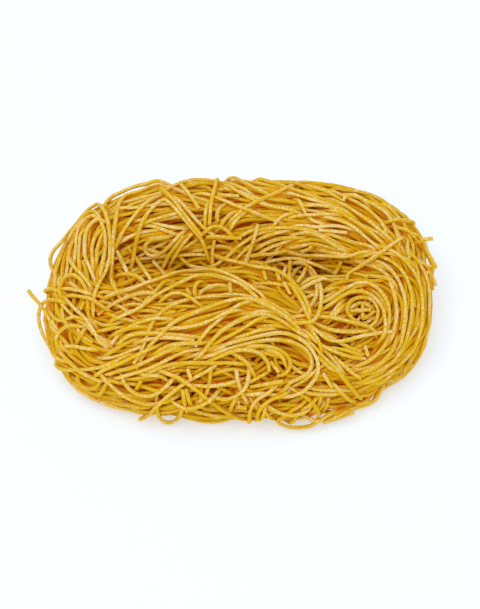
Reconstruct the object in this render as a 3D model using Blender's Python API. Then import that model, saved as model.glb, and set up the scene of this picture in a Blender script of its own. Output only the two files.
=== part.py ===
"""Dry egg pasta nest: thin square-cut noodles folded into one oval, flat-bottomed nest, dried hard.

The nest is one solid. A core has the true outer form: a thick rim all round, higher at the back, a
mound folded over the front half, two hollows behind the mound and a small eye in the right-hand coil.
The noodles that show are laid on the core at their true thickness and fused to it.
Metres, +Z up. The origin is under the middle of the nest, on the surface that it stands on.
"""

import math
import random

import bmesh
import bpy
import numpy as np
from mathutils import Vector
from mathutils.bvhtree import BVHTree

MM = 0.001

# The noodle, in millimetres: its middle lies this far above the core, or higher where it crosses over
NOODLE_WIDTH = 1.7
NOODLE_SIDES_TURN = math.radians(45)
LIE_ABOVE_CORE = 0.5
CROSS_OVER_LIFT = 1.5

# The nest, in millimetres: its plan is a superellipse, squarer at the back than at the front.
# FOOT_DROP over 1 takes the underside below the ground before it is cut off flat
HALF_LENGTH = 82.5
HALF_DEPTH = 55.0
BACK_SQUARENESS = 3.0
FRONT_SQUARENESS = 2.25
SQUARENESS_BLEND = 15.0
BELLY_HEIGHT = 13.0
BELLY_TO_FOOT = 13.0
EDGE_ROUNDING = 20.0
MEAN_REACH = 59.0
FRONT_TO_BACK_MEAN_HEIGHT = 32.7
BACK_EXTRA_HEIGHT = 6.0
FOOT_DROP = 1.35

# Rises and hollows of the top: middle x and y, half sizes along and across, turn in degrees, height
TOP_FORMS = {
    "mound": (-8, -22, 46, 17, 8, 9),
    "left hollow": (-30, 14, 34, 8, -4, -11),
    "right hollow": (28, 12, 30, 8, -12, -11),
    "eye of the right coil": (55, -12, 10, 9, 0, -7),
}

# Strands that run round the rim: from and to angle in degrees, then height on the rim as a latitude.
# All drift up and down together, and each a little by itself
RIM_STRANDS = [
    (20, 160, 52), (10, 120, 43), (70, 175, 40), (25, 150, 33), (50, 185, 25), (-5, 95, 22),
    (-40, 60, 38), (-65, 30, 27), (-75, 45, 14), (-20, 130, 9), (95, 215, 12), (-130, -35, -6),
    (150, 290, 3), (165, 265, 22), (185, 300, -14), (-50, 60, -14), (235, 330, 16), (40, 150, -9),
    (200, 340, 8), (30, 130, 16),
]
RIM_DRIFT = 5.0
RIM_WAVES = 2
OWN_DRIFT = 1.5
OWN_WAVES = 3
RIM_POINTS_PER_DEGREE = 2

# Strands on the top, each a smooth line through points of the plan, in millimetres
TOP_STRANDS = {
    "left fold": [
        [(-81, 10), (-77, 22), (-66, 35), (-58, 30), (-56, 14), (-62, -5)],
        [(-78, 14), (-70, 29), (-62, 31), (-59, 16), (-64, -6)],
        [(-50, 41), (-54, 24), (-55, 10), (-51, -5)],
        [(-66, 27), (-68, 12), (-63, 0)],
    ],
    "left tangle": [
        [(-63, -18), (-64, -6), (-70, 4), (-76, -2), (-72, -13), (-61, -28)],
        [(-72, 10), (-79, 2), (-74, -12), (-63, -25), (-50, -31)],
        [(-79, -12), (-76, -18), (-70, -18)],
    ],
    "sticks over the back": [
        [(-34, 40), (-23, 29), (-14, 20)],
        [(-29, 42), (-19, 32), (-10, 24)],
        [(-10, 47), (-12, 37), (-13, 28)],
        [(69, 16), (59, 11), (46, 2)],
        [(-47, 16), (-39, 3)],
        [(6, 28), (3, 13)],
    ],
    "back wall": [
        [(-12, 34), (8, 31), (30, 28), (50, 20), (66, 8)],
        [(-20, 8), (-10, 11), (2, 22), (20, 29), (42, 28), (62, 18)],
        [(-52, 8), (-35, 15), (-12, 15), (12, 13), (34, 15), (56, 13), (70, 4)],
    ],
    "arcs over the hollows": [
        [(-60, -16), (-47, -6), (-27, 3), (-9, 3), (8, -4), (19, -13)],
        [(-51, -21), (-33, -8), (-16, 1), (0, -4), (12, -12)],
        [(20, 14), (30, 10), (34, -4), (31, -16), (23, -19)],
    ],
    "mound": [
        [(-39, -27), (-30, -16), (-13, -11), (5, -12), (17, -19), (25, -25)],
        [(-39, -34), (-28, -23), (-10, -15), (8, -16), (22, -24)],
        [(-19, -33), (-9, -21), (2, -15), (15, -20), (26, -31), (27, -42)],
        [(-19, -39), (-10, -30), (6, -20), (19, -23), (30, -33), (30, -44), (20, -48)],
        [(-48, -36), (-30, -33), (-8, -27), (10, -27)],
        [(-60, -33), (-42, -38), (-20, -36), (2, -32), (20, -28)],
        [(-10, -37), (3, -35), (14, -33), (21, -38), (16, -44)],
    ],
    "right fan": [
        [(26, -19), (38, -20), (50, -23)],
        [(28, -21), (37, -29), (49, -26), (63, -25)],
        [(30, -29), (42, -33), (53, -37)],
        [(31, -30), (40, -41), (51, -49)],
    ],
    "right coil": [
        [(32, -19), (43, -8), (54, -4), (63, -10), (65, -21), (58, -33), (44, -41)],
        [(35, -14), (47, -19), (53, -21), (59, -16), (55, -8), (47, -11), (46, -17)],
        [(40, 2), (56, 2), (69, -6), (73, -22), (62, -38), (46, -48)],
    ],
    "front tangle": [
        [(-42, -55), (-27, -47), (-10, -40)],
        [(-12, -42), (-14, -50), (-26, -52), (-36, -47)],
        [(4, -45), (0, -50), (-9, -52), (-20, -47)],
        [(-64, -38), (-52, -45), (-38, -50), (-20, -53)],
    ],
}
# Strands that stand clear of the nest for part of their way, with a height at each such point
FREE_STRANDS = [
    [(-93, -2, 22), (-87, -8, 22), (-79, -17), (-72, -28)],
    [(-72, -6), (-80, -9, 25), (-87, -16, 21), (-85, -26, 17), (-76, -33), (-66, -39)],
    [(-75, 22), (-83, 19, 27), (-86, 12, 25), (-81, 4)],
    [(14, -52), (20, -58, 11), (28, -59, 9), (32, -56, 13), (28, -51)],
    [(-18, -50), (-15, -57, 11), (-9, -58, 9), (-4, -52)],
    [(72, 28), (80, 23, 33), (86, 25, 34)],
]

PASTA_COLOUR = (0.61, 0.32, 0.03, 1.0)
PASTA_ROUGHNESS = 0.65

# How finely the core and the noodles are made, in millimetres, and radians for a turn; metres for
# FLAT_WITHIN, which finds the foot's faces, and CAP_WELD, which joins a noodle's caps to its sides
CORE_SUBDIVISIONS = 4
FLAT_WITHIN = 1e-6
CAP_WELD = 1e-5
DENSE_STEP = 0.8
EASING_ROUNDS = 6
STEP_STRAIGHT = 17.0
STEP_TURN = math.radians(30)
SEED = 7


def squareness(y):
    share = 0.5 + 0.5 * np.tanh(y / SQUARENESS_BLEND)
    return FRONT_SQUARENESS + (BACK_SQUARENESS - FRONT_SQUARENESS) * share


def reach(x, y):
    """How far out a plan point is: 0 in the middle, 1 on the widest outline."""
    n = squareness(y)
    return (np.abs(x / HALF_LENGTH) ** n + np.abs(y / HALF_DEPTH) ** n) ** (1 / n)


def rounded(out):
    """Rises from 0 on the outline to 1 at EDGE_ROUNDING inside it, as a quarter of an ellipse."""
    inside = (1 - out) * MEAN_REACH / EDGE_ROUNDING
    return np.sqrt(np.clip(1 - (1 - np.clip(inside, 0, 1)) ** 2, 0, 1))


def top_height(x, y):
    """Height of the core's upper side: the rounded edge, lifted to the back, with TOP_FORMS added."""
    z = FRONT_TO_BACK_MEAN_HEIGHT + BACK_EXTRA_HEIGHT * np.clip(y / HALF_DEPTH, -1, 1)
    for cx, cy, along, across, turn, height in TOP_FORMS.values():
        c, s = math.cos(math.radians(turn)), math.sin(math.radians(turn))
        u = ((x - cx) * c + (y - cy) * s) / along
        v = ((y - cy) * c - (x - cx) * s) / across
        z = z + height * np.exp(-(u * u + v * v))
    return BELLY_HEIGHT + (z - BELLY_HEIGHT) * rounded(reach(x, y))


def plan_point(angle, out):
    """Plan point at that angle, out of 1 of the way to the outline."""
    c, s = np.cos(angle), np.sin(angle)
    n = squareness(s * HALF_DEPTH * out)
    k = (np.abs(c) ** n + np.abs(s) ** n) ** (-1 / n)
    return HALF_LENGTH * out * c * k, HALF_DEPTH * out * s * k


def on_form(angle, latitude):
    """Point of the core's form at an angle round it and a latitude, from -90 below to 90 above."""
    out = np.cos(latitude)
    x, y = plan_point(angle, out)
    under = np.maximum(0.0, BELLY_HEIGHT - BELLY_TO_FOOT * FOOT_DROP * rounded(out))
    z = np.where(latitude >= 0, top_height(x, y), under)
    return np.stack([x, y, z], axis=-1)


def make_core():
    """A ball of even triangles, each vertex moved to the nest's form, with a flat foot."""
    bm = bmesh.new()
    bmesh.ops.create_icosphere(bm, subdivisions=CORE_SUBDIVISIONS, radius=1.0)
    directions = np.array([v.co for v in bm.verts])
    places = on_form(
        np.arctan2(directions[:, 1], directions[:, 0]), np.arcsin(np.clip(directions[:, 2], -1, 1))
    )
    for vertex, place in zip(bm.verts, places):
        vertex.co = Vector(place) * MM
    foot = [f for f in bm.faces if max(v.co.z for v in f.verts) < FLAT_WITHIN]
    bmesh.ops.dissolve_faces(bm, faces=foot)
    tree = BVHTree.FromBMesh(bm)
    mesh = bpy.data.meshes.new("pasta_nest")
    bm.to_mesh(mesh)
    bm.free()
    return bpy.data.objects.new("pasta_nest", mesh), tree


def smooth_line(points):
    """Catmull-Rom curve through the points, with a point about every DENSE_STEP."""
    p = np.array(points, float)
    p = np.vstack([2 * p[0] - p[1], p, 2 * p[-1] - p[-2]])
    line = []
    for a, b, c, d in zip(p, p[1:], p[2:], p[3:]):
        t = np.linspace(0, 1, max(2, int(np.linalg.norm(c - b) / DENSE_STEP)), endpoint=False)[:, None]
        line.append(
            0.5 * (2 * b + (c - a) * t + (2 * a - 5 * b + 4 * c - d) * t**2 + (3 * b - a - 3 * c + d) * t**3)
        )
    return np.vstack([*line, p[-2]])


def laid(line, tree, crosses_over=False):
    """Puts each point of a line, in millimetres, on the core, or over it between ends that lie on it."""
    lifts = LIE_ABOVE_CORE + crosses_over * CROSS_OVER_LIFT * np.sin(np.linspace(0, math.pi, len(line)))
    placed = []
    for point, lift in zip(line, lifts):
        spot, normal, _, _ = tree.find_nearest(Vector(point) * MM)
        placed.append(np.array(spot) / MM + np.array(normal) * lift)
    placed = np.array(placed)
    placed[:, 2] = np.maximum(placed[:, 2], NOODLE_WIDTH / 2)
    return eased(placed)


def eased(line):
    """Rounds off the corners that the core's faces give a line that lies on them."""
    for _ in range(EASING_ROUNDS):
        line[1:-1] = 0.25 * line[:-2] + 0.5 * line[1:-1] + 0.25 * line[2:]
    return line


def thinned(line):
    """Keeps a point where the line has run straight for STEP_STRAIGHT or turned by STEP_TURN."""
    kept = [0]
    run = turn = 0.0
    steps = np.diff(line, axis=0)
    lengths = np.linalg.norm(steps, axis=1)
    for i in range(1, len(steps)):
        run += lengths[i - 1]
        cosine = steps[i - 1] @ steps[i] / (lengths[i - 1] * lengths[i])
        turn += math.acos(max(-1.0, min(1.0, cosine)))
        if run > STEP_STRAIGHT or turn > STEP_TURN:
            kept.append(i)
            run = turn = 0.0
    return line[[*kept, len(line) - 1]]


def make_noodle(name, line, collection):
    """A square-cut noodle along a line: a bevelled curve with caps, made a closed mesh."""
    curve = bpy.data.curves.new(name, "CURVE")
    curve.dimensions = "3D"
    curve.twist_mode = "Z_UP"
    curve.bevel_depth = NOODLE_WIDTH / math.sqrt(2) * MM
    curve.bevel_resolution = 0
    curve.use_fill_caps = True
    spline = curve.splines.new("POLY")
    spline.points.add(len(line) - 1)
    for point, place in zip(spline.points, line):
        point.co = (*(Vector(place) * MM), 1.0)
        point.tilt = NOODLE_SIDES_TURN
    guide = bpy.data.objects.new(name + "_line", curve)
    collection.objects.link(guide)
    mesh = bpy.data.meshes.new_from_object(guide.evaluated_get(bpy.context.evaluated_depsgraph_get()))
    bpy.data.objects.remove(guide)
    bm = bmesh.new()
    bm.from_mesh(mesh)
    bmesh.ops.remove_doubles(bm, verts=bm.verts, dist=CAP_WELD)
    bmesh.ops.recalc_face_normals(bm, faces=bm.faces)
    bm.to_mesh(mesh)
    bm.free()
    noodle = bpy.data.objects.new(name, mesh)
    collection.objects.link(noodle)
    return noodle


def rim_lines(tree):
    """Strands round the rim, each drifting up and down a little as it goes."""
    rng = random.Random(SEED)
    for i, (start, end, latitude) in enumerate(RIM_STRANDS):
        angles = np.radians(np.linspace(start, end, RIM_POINTS_PER_DEGREE * abs(end - start)))
        drift = RIM_DRIFT * np.sin(RIM_WAVES * angles)
        drift += OWN_DRIFT * np.sin(OWN_WAVES * angles + rng.uniform(0, math.tau))
        yield laid(on_form(angles, np.radians(latitude + drift)), tree, crosses_over=i % 2 == 1)


def top_lines(tree):
    """Strands on the top. Each group's strands take turns to lie low and to cross over the others."""
    for strands in TOP_STRANDS.values():
        for i, points in enumerate(strands):
            plan = smooth_line(points)
            line = np.column_stack([plan, top_height(plan[:, 0], plan[:, 1])])
            yield laid(line, tree, crosses_over=i % 2 == 1)


def free_lines(tree):
    """Strands that leave the nest: laid on it where a point has no height, free where it has one."""
    for points in FREE_STRANDS:
        whole = []
        for point in points:
            x, y = point[:2]
            on_nest = laid(np.array([[x, y, float(top_height(x, y))]]), tree)[0]
            whole.append(np.array(point, float) if len(point) == 3 else on_nest)
        yield smooth_line(whole)


def make_material():
    pasta = bpy.data.materials.new("dry_egg_pasta")
    pasta.use_nodes = True
    shader = pasta.node_tree.nodes["Principled BSDF"]
    shader.inputs["Base Color"].default_value = PASTA_COLOUR
    shader.inputs["Roughness"].default_value = PASTA_ROUGHNESS
    shader.inputs["Metallic"].default_value = 0.0
    return pasta


def shells(bm):
    """The mesh's separate closed surfaces, as lists of faces."""
    left = set(bm.faces)
    while left:
        found, edge = set(), [left.pop()]
        while edge:
            face = edge.pop()
            found.add(face)
            for neighbour in (f for e in face.edges for f in e.link_faces):
                if neighbour in left:
                    left.discard(neighbour)
                    edge.append(neighbour)
        yield list(found)


def keep_outer_shell(mesh):
    """Drops what the union leaves inside sealed gaps, and any scrap that isn't joined on."""
    bm = bmesh.new()
    bm.from_mesh(mesh)
    bmesh.ops.triangulate(bm, faces=bm.faces)

    found = sorted(shells(bm), key=len)
    for faces in found[:-1]:
        bmesh.ops.delete(bm, geom=faces, context="FACES")
    bm.to_mesh(mesh)
    bm.free()


def join(core, noodles):
    """Fuses every noodle to the core with one union, then removes the loose noodles."""
    union = core.modifiers.new("fuse noodles", "BOOLEAN")
    union.operation = "UNION"
    union.operand_type = "COLLECTION"
    union.collection = noodles
    union.solver = "MANIFOLD"
    bpy.context.view_layer.update()
    fused = bpy.data.meshes.new_from_object(core.evaluated_get(bpy.context.evaluated_depsgraph_get()))
    core.modifiers.clear()
    core.data = fused
    fused.name = core.name
    for noodle in list(noodles.objects):
        bpy.data.objects.remove(noodle)
    bpy.data.collections.remove(noodles)
    keep_outer_shell(fused)


def build():
    for old in list(bpy.data.objects):
        bpy.data.objects.remove(old)
    nest = bpy.data.collections.new("dry_pasta_nest")
    noodles = bpy.data.collections.new("noodles")
    bpy.context.scene.collection.children.link(nest)
    bpy.context.scene.collection.children.link(noodles)
    core, tree = make_core()
    nest.objects.link(core)
    lines = [*rim_lines(tree), *top_lines(tree), *free_lines(tree)]
    for i, line in enumerate(lines):
        make_noodle(f"noodle_{i:02d}", thinned(line), noodles)
    join(core, noodles)
    print(f"{len(lines)} noodles fused to the core: {len(core.data.polygons)} triangles")
    core.data.materials.clear()
    core.data.materials.append(make_material())


build()
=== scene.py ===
# %% [markdown]
# # A dry pasta nest
# A dried nest of egg pasta is one long bundle of thin noodles, folded while soft and left to dry on a
# flat tray. This file loads the plain solid nest as a fixed frame, then lays real noodles over it, tens
# of metres of them, presses them apart where they cross, and gives them the look of dry dough.
# Lengths are in millimetres until a mesh is made, because a noodle is easiest to think about that way.

# %% Load the frame
import math

import bpy
import numpy as np
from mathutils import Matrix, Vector


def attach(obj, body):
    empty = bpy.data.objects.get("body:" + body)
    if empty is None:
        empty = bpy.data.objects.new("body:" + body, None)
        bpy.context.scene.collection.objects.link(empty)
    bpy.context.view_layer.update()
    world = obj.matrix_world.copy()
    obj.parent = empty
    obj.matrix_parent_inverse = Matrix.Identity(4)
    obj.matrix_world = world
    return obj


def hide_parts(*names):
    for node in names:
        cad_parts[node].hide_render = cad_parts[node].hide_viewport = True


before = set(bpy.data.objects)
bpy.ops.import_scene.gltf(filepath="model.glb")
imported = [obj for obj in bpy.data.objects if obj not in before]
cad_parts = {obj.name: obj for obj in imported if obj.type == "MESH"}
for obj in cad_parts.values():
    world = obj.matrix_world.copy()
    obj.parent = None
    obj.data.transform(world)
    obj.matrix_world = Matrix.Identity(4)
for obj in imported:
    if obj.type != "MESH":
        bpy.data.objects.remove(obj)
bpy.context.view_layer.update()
MM = 0.001
print("frame nodes:", sorted(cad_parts))

# %% [markdown]
# The camera comes first, because everything else is judged through it. It looks along +Y from in front
# and well above, the way a small thing on a white table is photographed for a shop.

# %% Camera
CAMERA_ELEVATION = math.radians(62)
CAMERA_DISTANCE = 0.75
CAMERA_TARGET = (0.0, 0.0, 0.0115)
FOCAL_LENGTH = 101.35
SENSOR_WIDTH = 36.0


def make_camera():
    """A camera at a distance from its target, raised by an elevation, with no roll."""
    data = bpy.data.cameras.new("camera")
    data.lens = FOCAL_LENGTH
    data.sensor_width = SENSOR_WIDTH
    camera = bpy.data.objects.new("camera", data)
    x, y, z = CAMERA_TARGET
    camera.location = (
        x,
        y - CAMERA_DISTANCE * math.cos(CAMERA_ELEVATION),
        z + CAMERA_DISTANCE * math.sin(CAMERA_ELEVATION),
    )
    camera.rotation_euler = (math.pi / 2 - CAMERA_ELEVATION, 0, 0)
    bpy.context.scene.collection.objects.link(camera)
    bpy.context.scene.camera = camera
    return camera


camera = make_camera()
print("camera stands at", [round(v, 3) for v in camera.location])

# %% [markdown]
# The nest's outer form is written as one function that is below zero inside it and above zero outside.
# Its plan is an oval that is squarer at the back, its edge is rounded like a cushion's, and its top has
# a mound and some hollows. With such a function the way out at any point is its slope, so a noodle can
# be put at any depth under the surface without a mesh to lie on.

# %% The nest's form
NOODLE = 1.45
HALF_LENGTH = 82.2
HALF_DEPTH_BACK = 55.4
HALF_DEPTH_FRONT = 52.4
SKEW = 0.045
BACK_SQUARENESS = 3.0
FRONT_SQUARENESS = 2.25
SQUARENESS_BLEND = 15.0
BELLY_HEIGHT = 13.0
BELLY_TO_FOOT = 17.5
LEAST_RISE = 16.0
EDGE_ROUNDING = 20.0
MEAN_REACH = 59.0
MEAN_HEIGHT = 32.9
BACK_EXTRA_HEIGHT = 6.0
SLOPE_STEP = 0.4
SETTLE_TURNS = 3
MOST_SETTLE = 3

TOP_FORMS = {
    "mound": (-8, -22, 46, 17, 8, 9),
    "left hollow": (-30, 13, 30, 8, -4, -14),
    "right hollow": (28, 11, 28, 8, -12, -13),
    "eye of the coil": (53, -13, 9, 8, 0, -4.5),
    "crevice of the left fold": (-56, 2, 6, 5, 0, -7),
    "crevice before the fold": (-58, -14, 9, 3.5, 15, -5),
}


def reach(x, y):
    """How far out a plan point is: the superellipse through it, as a share of the outline."""
    y = y - SKEW * x
    share = 0.5 + 0.5 * np.tanh(y / SQUARENESS_BLEND)
    n = FRONT_SQUARENESS + (BACK_SQUARENESS - FRONT_SQUARENESS) * share
    half_depth = HALF_DEPTH_FRONT + (HALF_DEPTH_BACK - HALF_DEPTH_FRONT) * share
    return (np.abs(x / HALF_LENGTH) ** n + np.abs(y / half_depth) ** n) ** (1 / n)


def crest(x, y):
    """Height of the top where its edge isn't rounded: a slope to the back with Gaussian forms added."""
    z = MEAN_HEIGHT + BACK_EXTRA_HEIGHT * np.clip(y / HALF_DEPTH_BACK, -1, 1)
    for cx, cy, along, across, turn, height in TOP_FORMS.values():
        c, s = math.cos(math.radians(turn)), math.sin(math.radians(turn))
        u = ((x - cx) * c + (y - cy) * s) / along
        v = ((y - cy) * c - (x - cx) * s) / across
        z = z + height * np.exp(-(u * u + v * v))
    return z


def outside(p):
    """Length of (share into the rounded edge, share of the way up or down) less 1, but cut off by the
    table: above 0 is outside."""
    x, y, z = p[..., 0], p[..., 1], p[..., 2]
    edge = np.clip(1 - (1 - reach(x, y)) * MEAN_REACH / EDGE_ROUNDING, 0, None)
    top = crest(x, y)
    rise = z - np.minimum(BELLY_HEIGHT, top - LEAST_RISE)
    share = np.where(rise > 0, rise / (top - z + rise), -rise / BELLY_TO_FOOT)
    return np.maximum(np.hypot(edge, share) - 1, -z / BELLY_TO_FOOT)


def way_out(p):
    """The form's unit slope at p by central differences, and the distance that p is outside."""
    steps = np.eye(3) * SLOPE_STEP
    slope = np.stack([outside(p + s) - outside(p - s) for s in steps], axis=-1) / (2 * SLOPE_STEP)
    size = np.linalg.norm(slope, axis=-1, keepdims=True) + 1e-9
    return slope / size, outside(p) / size[..., 0]


def at_depth(p, depth):
    """Moves points along the slope until they lie depth under the surface."""
    for _ in range(SETTLE_TURNS):
        n, d = way_out(p)
        p = p - n * np.clip(d + depth, -MOST_SETTLE, MOST_SETTLE)[..., None]
    return p


print("height at the mound and in the left hollow:", crest(np.array([-8, -30]), np.array([-22, 13])))

# %% [markdown]
# The noodles that the eye finds first are drawn one by one: the hairpins of the left fold, the sticks across
# the back, the arcs over the hollows, the ring and the knot, the hooks at the front. Each is a few points
# in pixels of the photograph. The camera's ray through a pixel is followed down to the nest's form, so
# the noodle really lies on the nest from any side. A third number is a height in millimetres, for the
# stretches that stand off the nest. The word says which ends are cut in plain view, and the other ends
# dive under their neighbours. Each group has a lift above the form: noodles that cross over others lie
# higher.

# %% Noodles drawn one by one: the left side
def count_shown():
    """How many noodles are drawn so far, over all groups."""
    return sum(len(noodles) for _, noodles in SHOWN.values())


SHOWN = {
    "left fold": (1.5, [
        ("none", [(93, 303), (94.5, 295), (98, 287), (102, 279), (106, 271), (109, 262), (110.5, 248),
                  (110, 234), (108.5, 222), (105.5, 213), (101.5, 207), (97.5, 205.5), (92.5, 207.5),
                  (86, 213), (79, 221), (70, 231.5), (61, 241.5, 31), (53.5, 249.5, 29), (50, 256, 27),
                  (49.3, 263, 25), (51.5, 270, 23), (56, 276)]),
        ("none", [(101, 276), (104, 262), (106, 248), (106, 236), (104, 226), (101, 218.5), (96.5, 213.5),
                  (91.5, 212.5), (86, 216.5), (78.5, 226.5), (71, 237), (65, 248), (61, 259), (58, 268),
                  (57, 277), (58, 287), (61.5, 297), (67, 306), (74, 315), (82, 323), (90, 331), (98, 339),
                  (105, 346)]),
        ("none", [(60.5, 284), (62, 293), (67, 302), (74, 311), (82, 319), (89, 326), (95, 334),
                  (100, 342)]),
        ("none", [(72, 276), (75, 262), (75.5, 248), (76.5, 236), (80, 227), (87, 219.5), (95, 216.5),
                  (100, 219)]),
        ("none", [(90, 272), (86, 260), (85, 249), (85.5, 238), (88.5, 230), (93, 224.5), (99, 221.5),
                  (103, 223)]),
        ("none", [(91, 264), (91, 250), (93, 240), (97, 232.5), (102, 228.5)]),
        ("none", [(118, 292), (114, 286), (111.3, 277), (111.5, 263), (112.5, 250), (113.5, 238),
                  (116, 227), (118.5, 215), (121.5, 205), (125.5, 198), (130, 195.5), (138, 193.5),
                  (150, 189), (162, 186)]),
        ("start", [(163, 192), (152, 198.5), (142, 207.5), (134, 216), (126.5, 225), (119.5, 235),
                   (115, 246)]),
        ("none", [(96, 262), (97.5, 250), (100, 240), (103, 232)]),
        ("none", [(80, 268), (80, 255), (81, 243), (84, 233)]),
        ("none", [(66, 282), (68, 268), (70, 254), (73, 242)]),
        ("none", [(73, 260), (78, 270), (85, 280), (91, 290)]),
    ]),
    "left tangle": (1.9, [
        ("none", [(63, 299), (62.7, 290.5), (65.5, 282.5), (70, 277.7), (75, 276.6), (80.5, 279),
                  (85.5, 284.5), (88.5, 291), (89.8, 299), (90, 308), (90, 316), (91, 323)]),
        ("none", [(62, 293.5), (72, 292.2), (82, 293.5), (92, 296.5)]),
        ("none", [(66, 298), (76, 297.5), (86, 299), (94, 301)]),
        ("both", [(71, 283), (76, 288), (81, 292)]),
        ("both", [(89.5, 300), (84.5, 306), (79, 312)]),
        ("none", [(64, 303), (56, 301.5), (50, 301, 24), (45, 303, 23.5), (41, 308, 22), (39.2, 315, 20.5),
                  (39.7, 323, 19), (43, 332, 17), (48, 340, 15.5), (54, 348, 14.5), (60, 355), (67, 361)]),
        ("start", [(26.5, 290, 26), (33, 297, 25), (40, 304, 25), (46, 310.5, 24.5), (51.5, 318, 23),
                   (56, 327), (62, 336), (68, 346)]),
        ("none", [(50, 294), (56, 291.5), (62, 294.5)]),
        ("none", [(52, 306), (54, 313.5), (58.5, 319), (65, 321), (72, 319.5), (78, 318.5)]),
        ("none", [(62, 343), (61.8, 335), (65, 328.5), (71, 324.5), (78, 324)]),
        ("end", [(78.5, 326), (79, 333), (82, 338), (87, 341), (93, 342.5)]),
        ("both", [(88, 328), (84, 334), (78.5, 340), (74, 346)]),
        ("none", [(55, 321), (58, 329), (62, 338), (67, 347)]),
        ("none", [(66, 345), (74, 345), (84, 347), (92, 349)]),
        ("none", [(64, 308), (66, 315), (68, 322)]),
        ("none", [(58, 306), (60, 313), (63, 320)]),
    ]),
}
print("drawn on the left:", count_shown())
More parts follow.
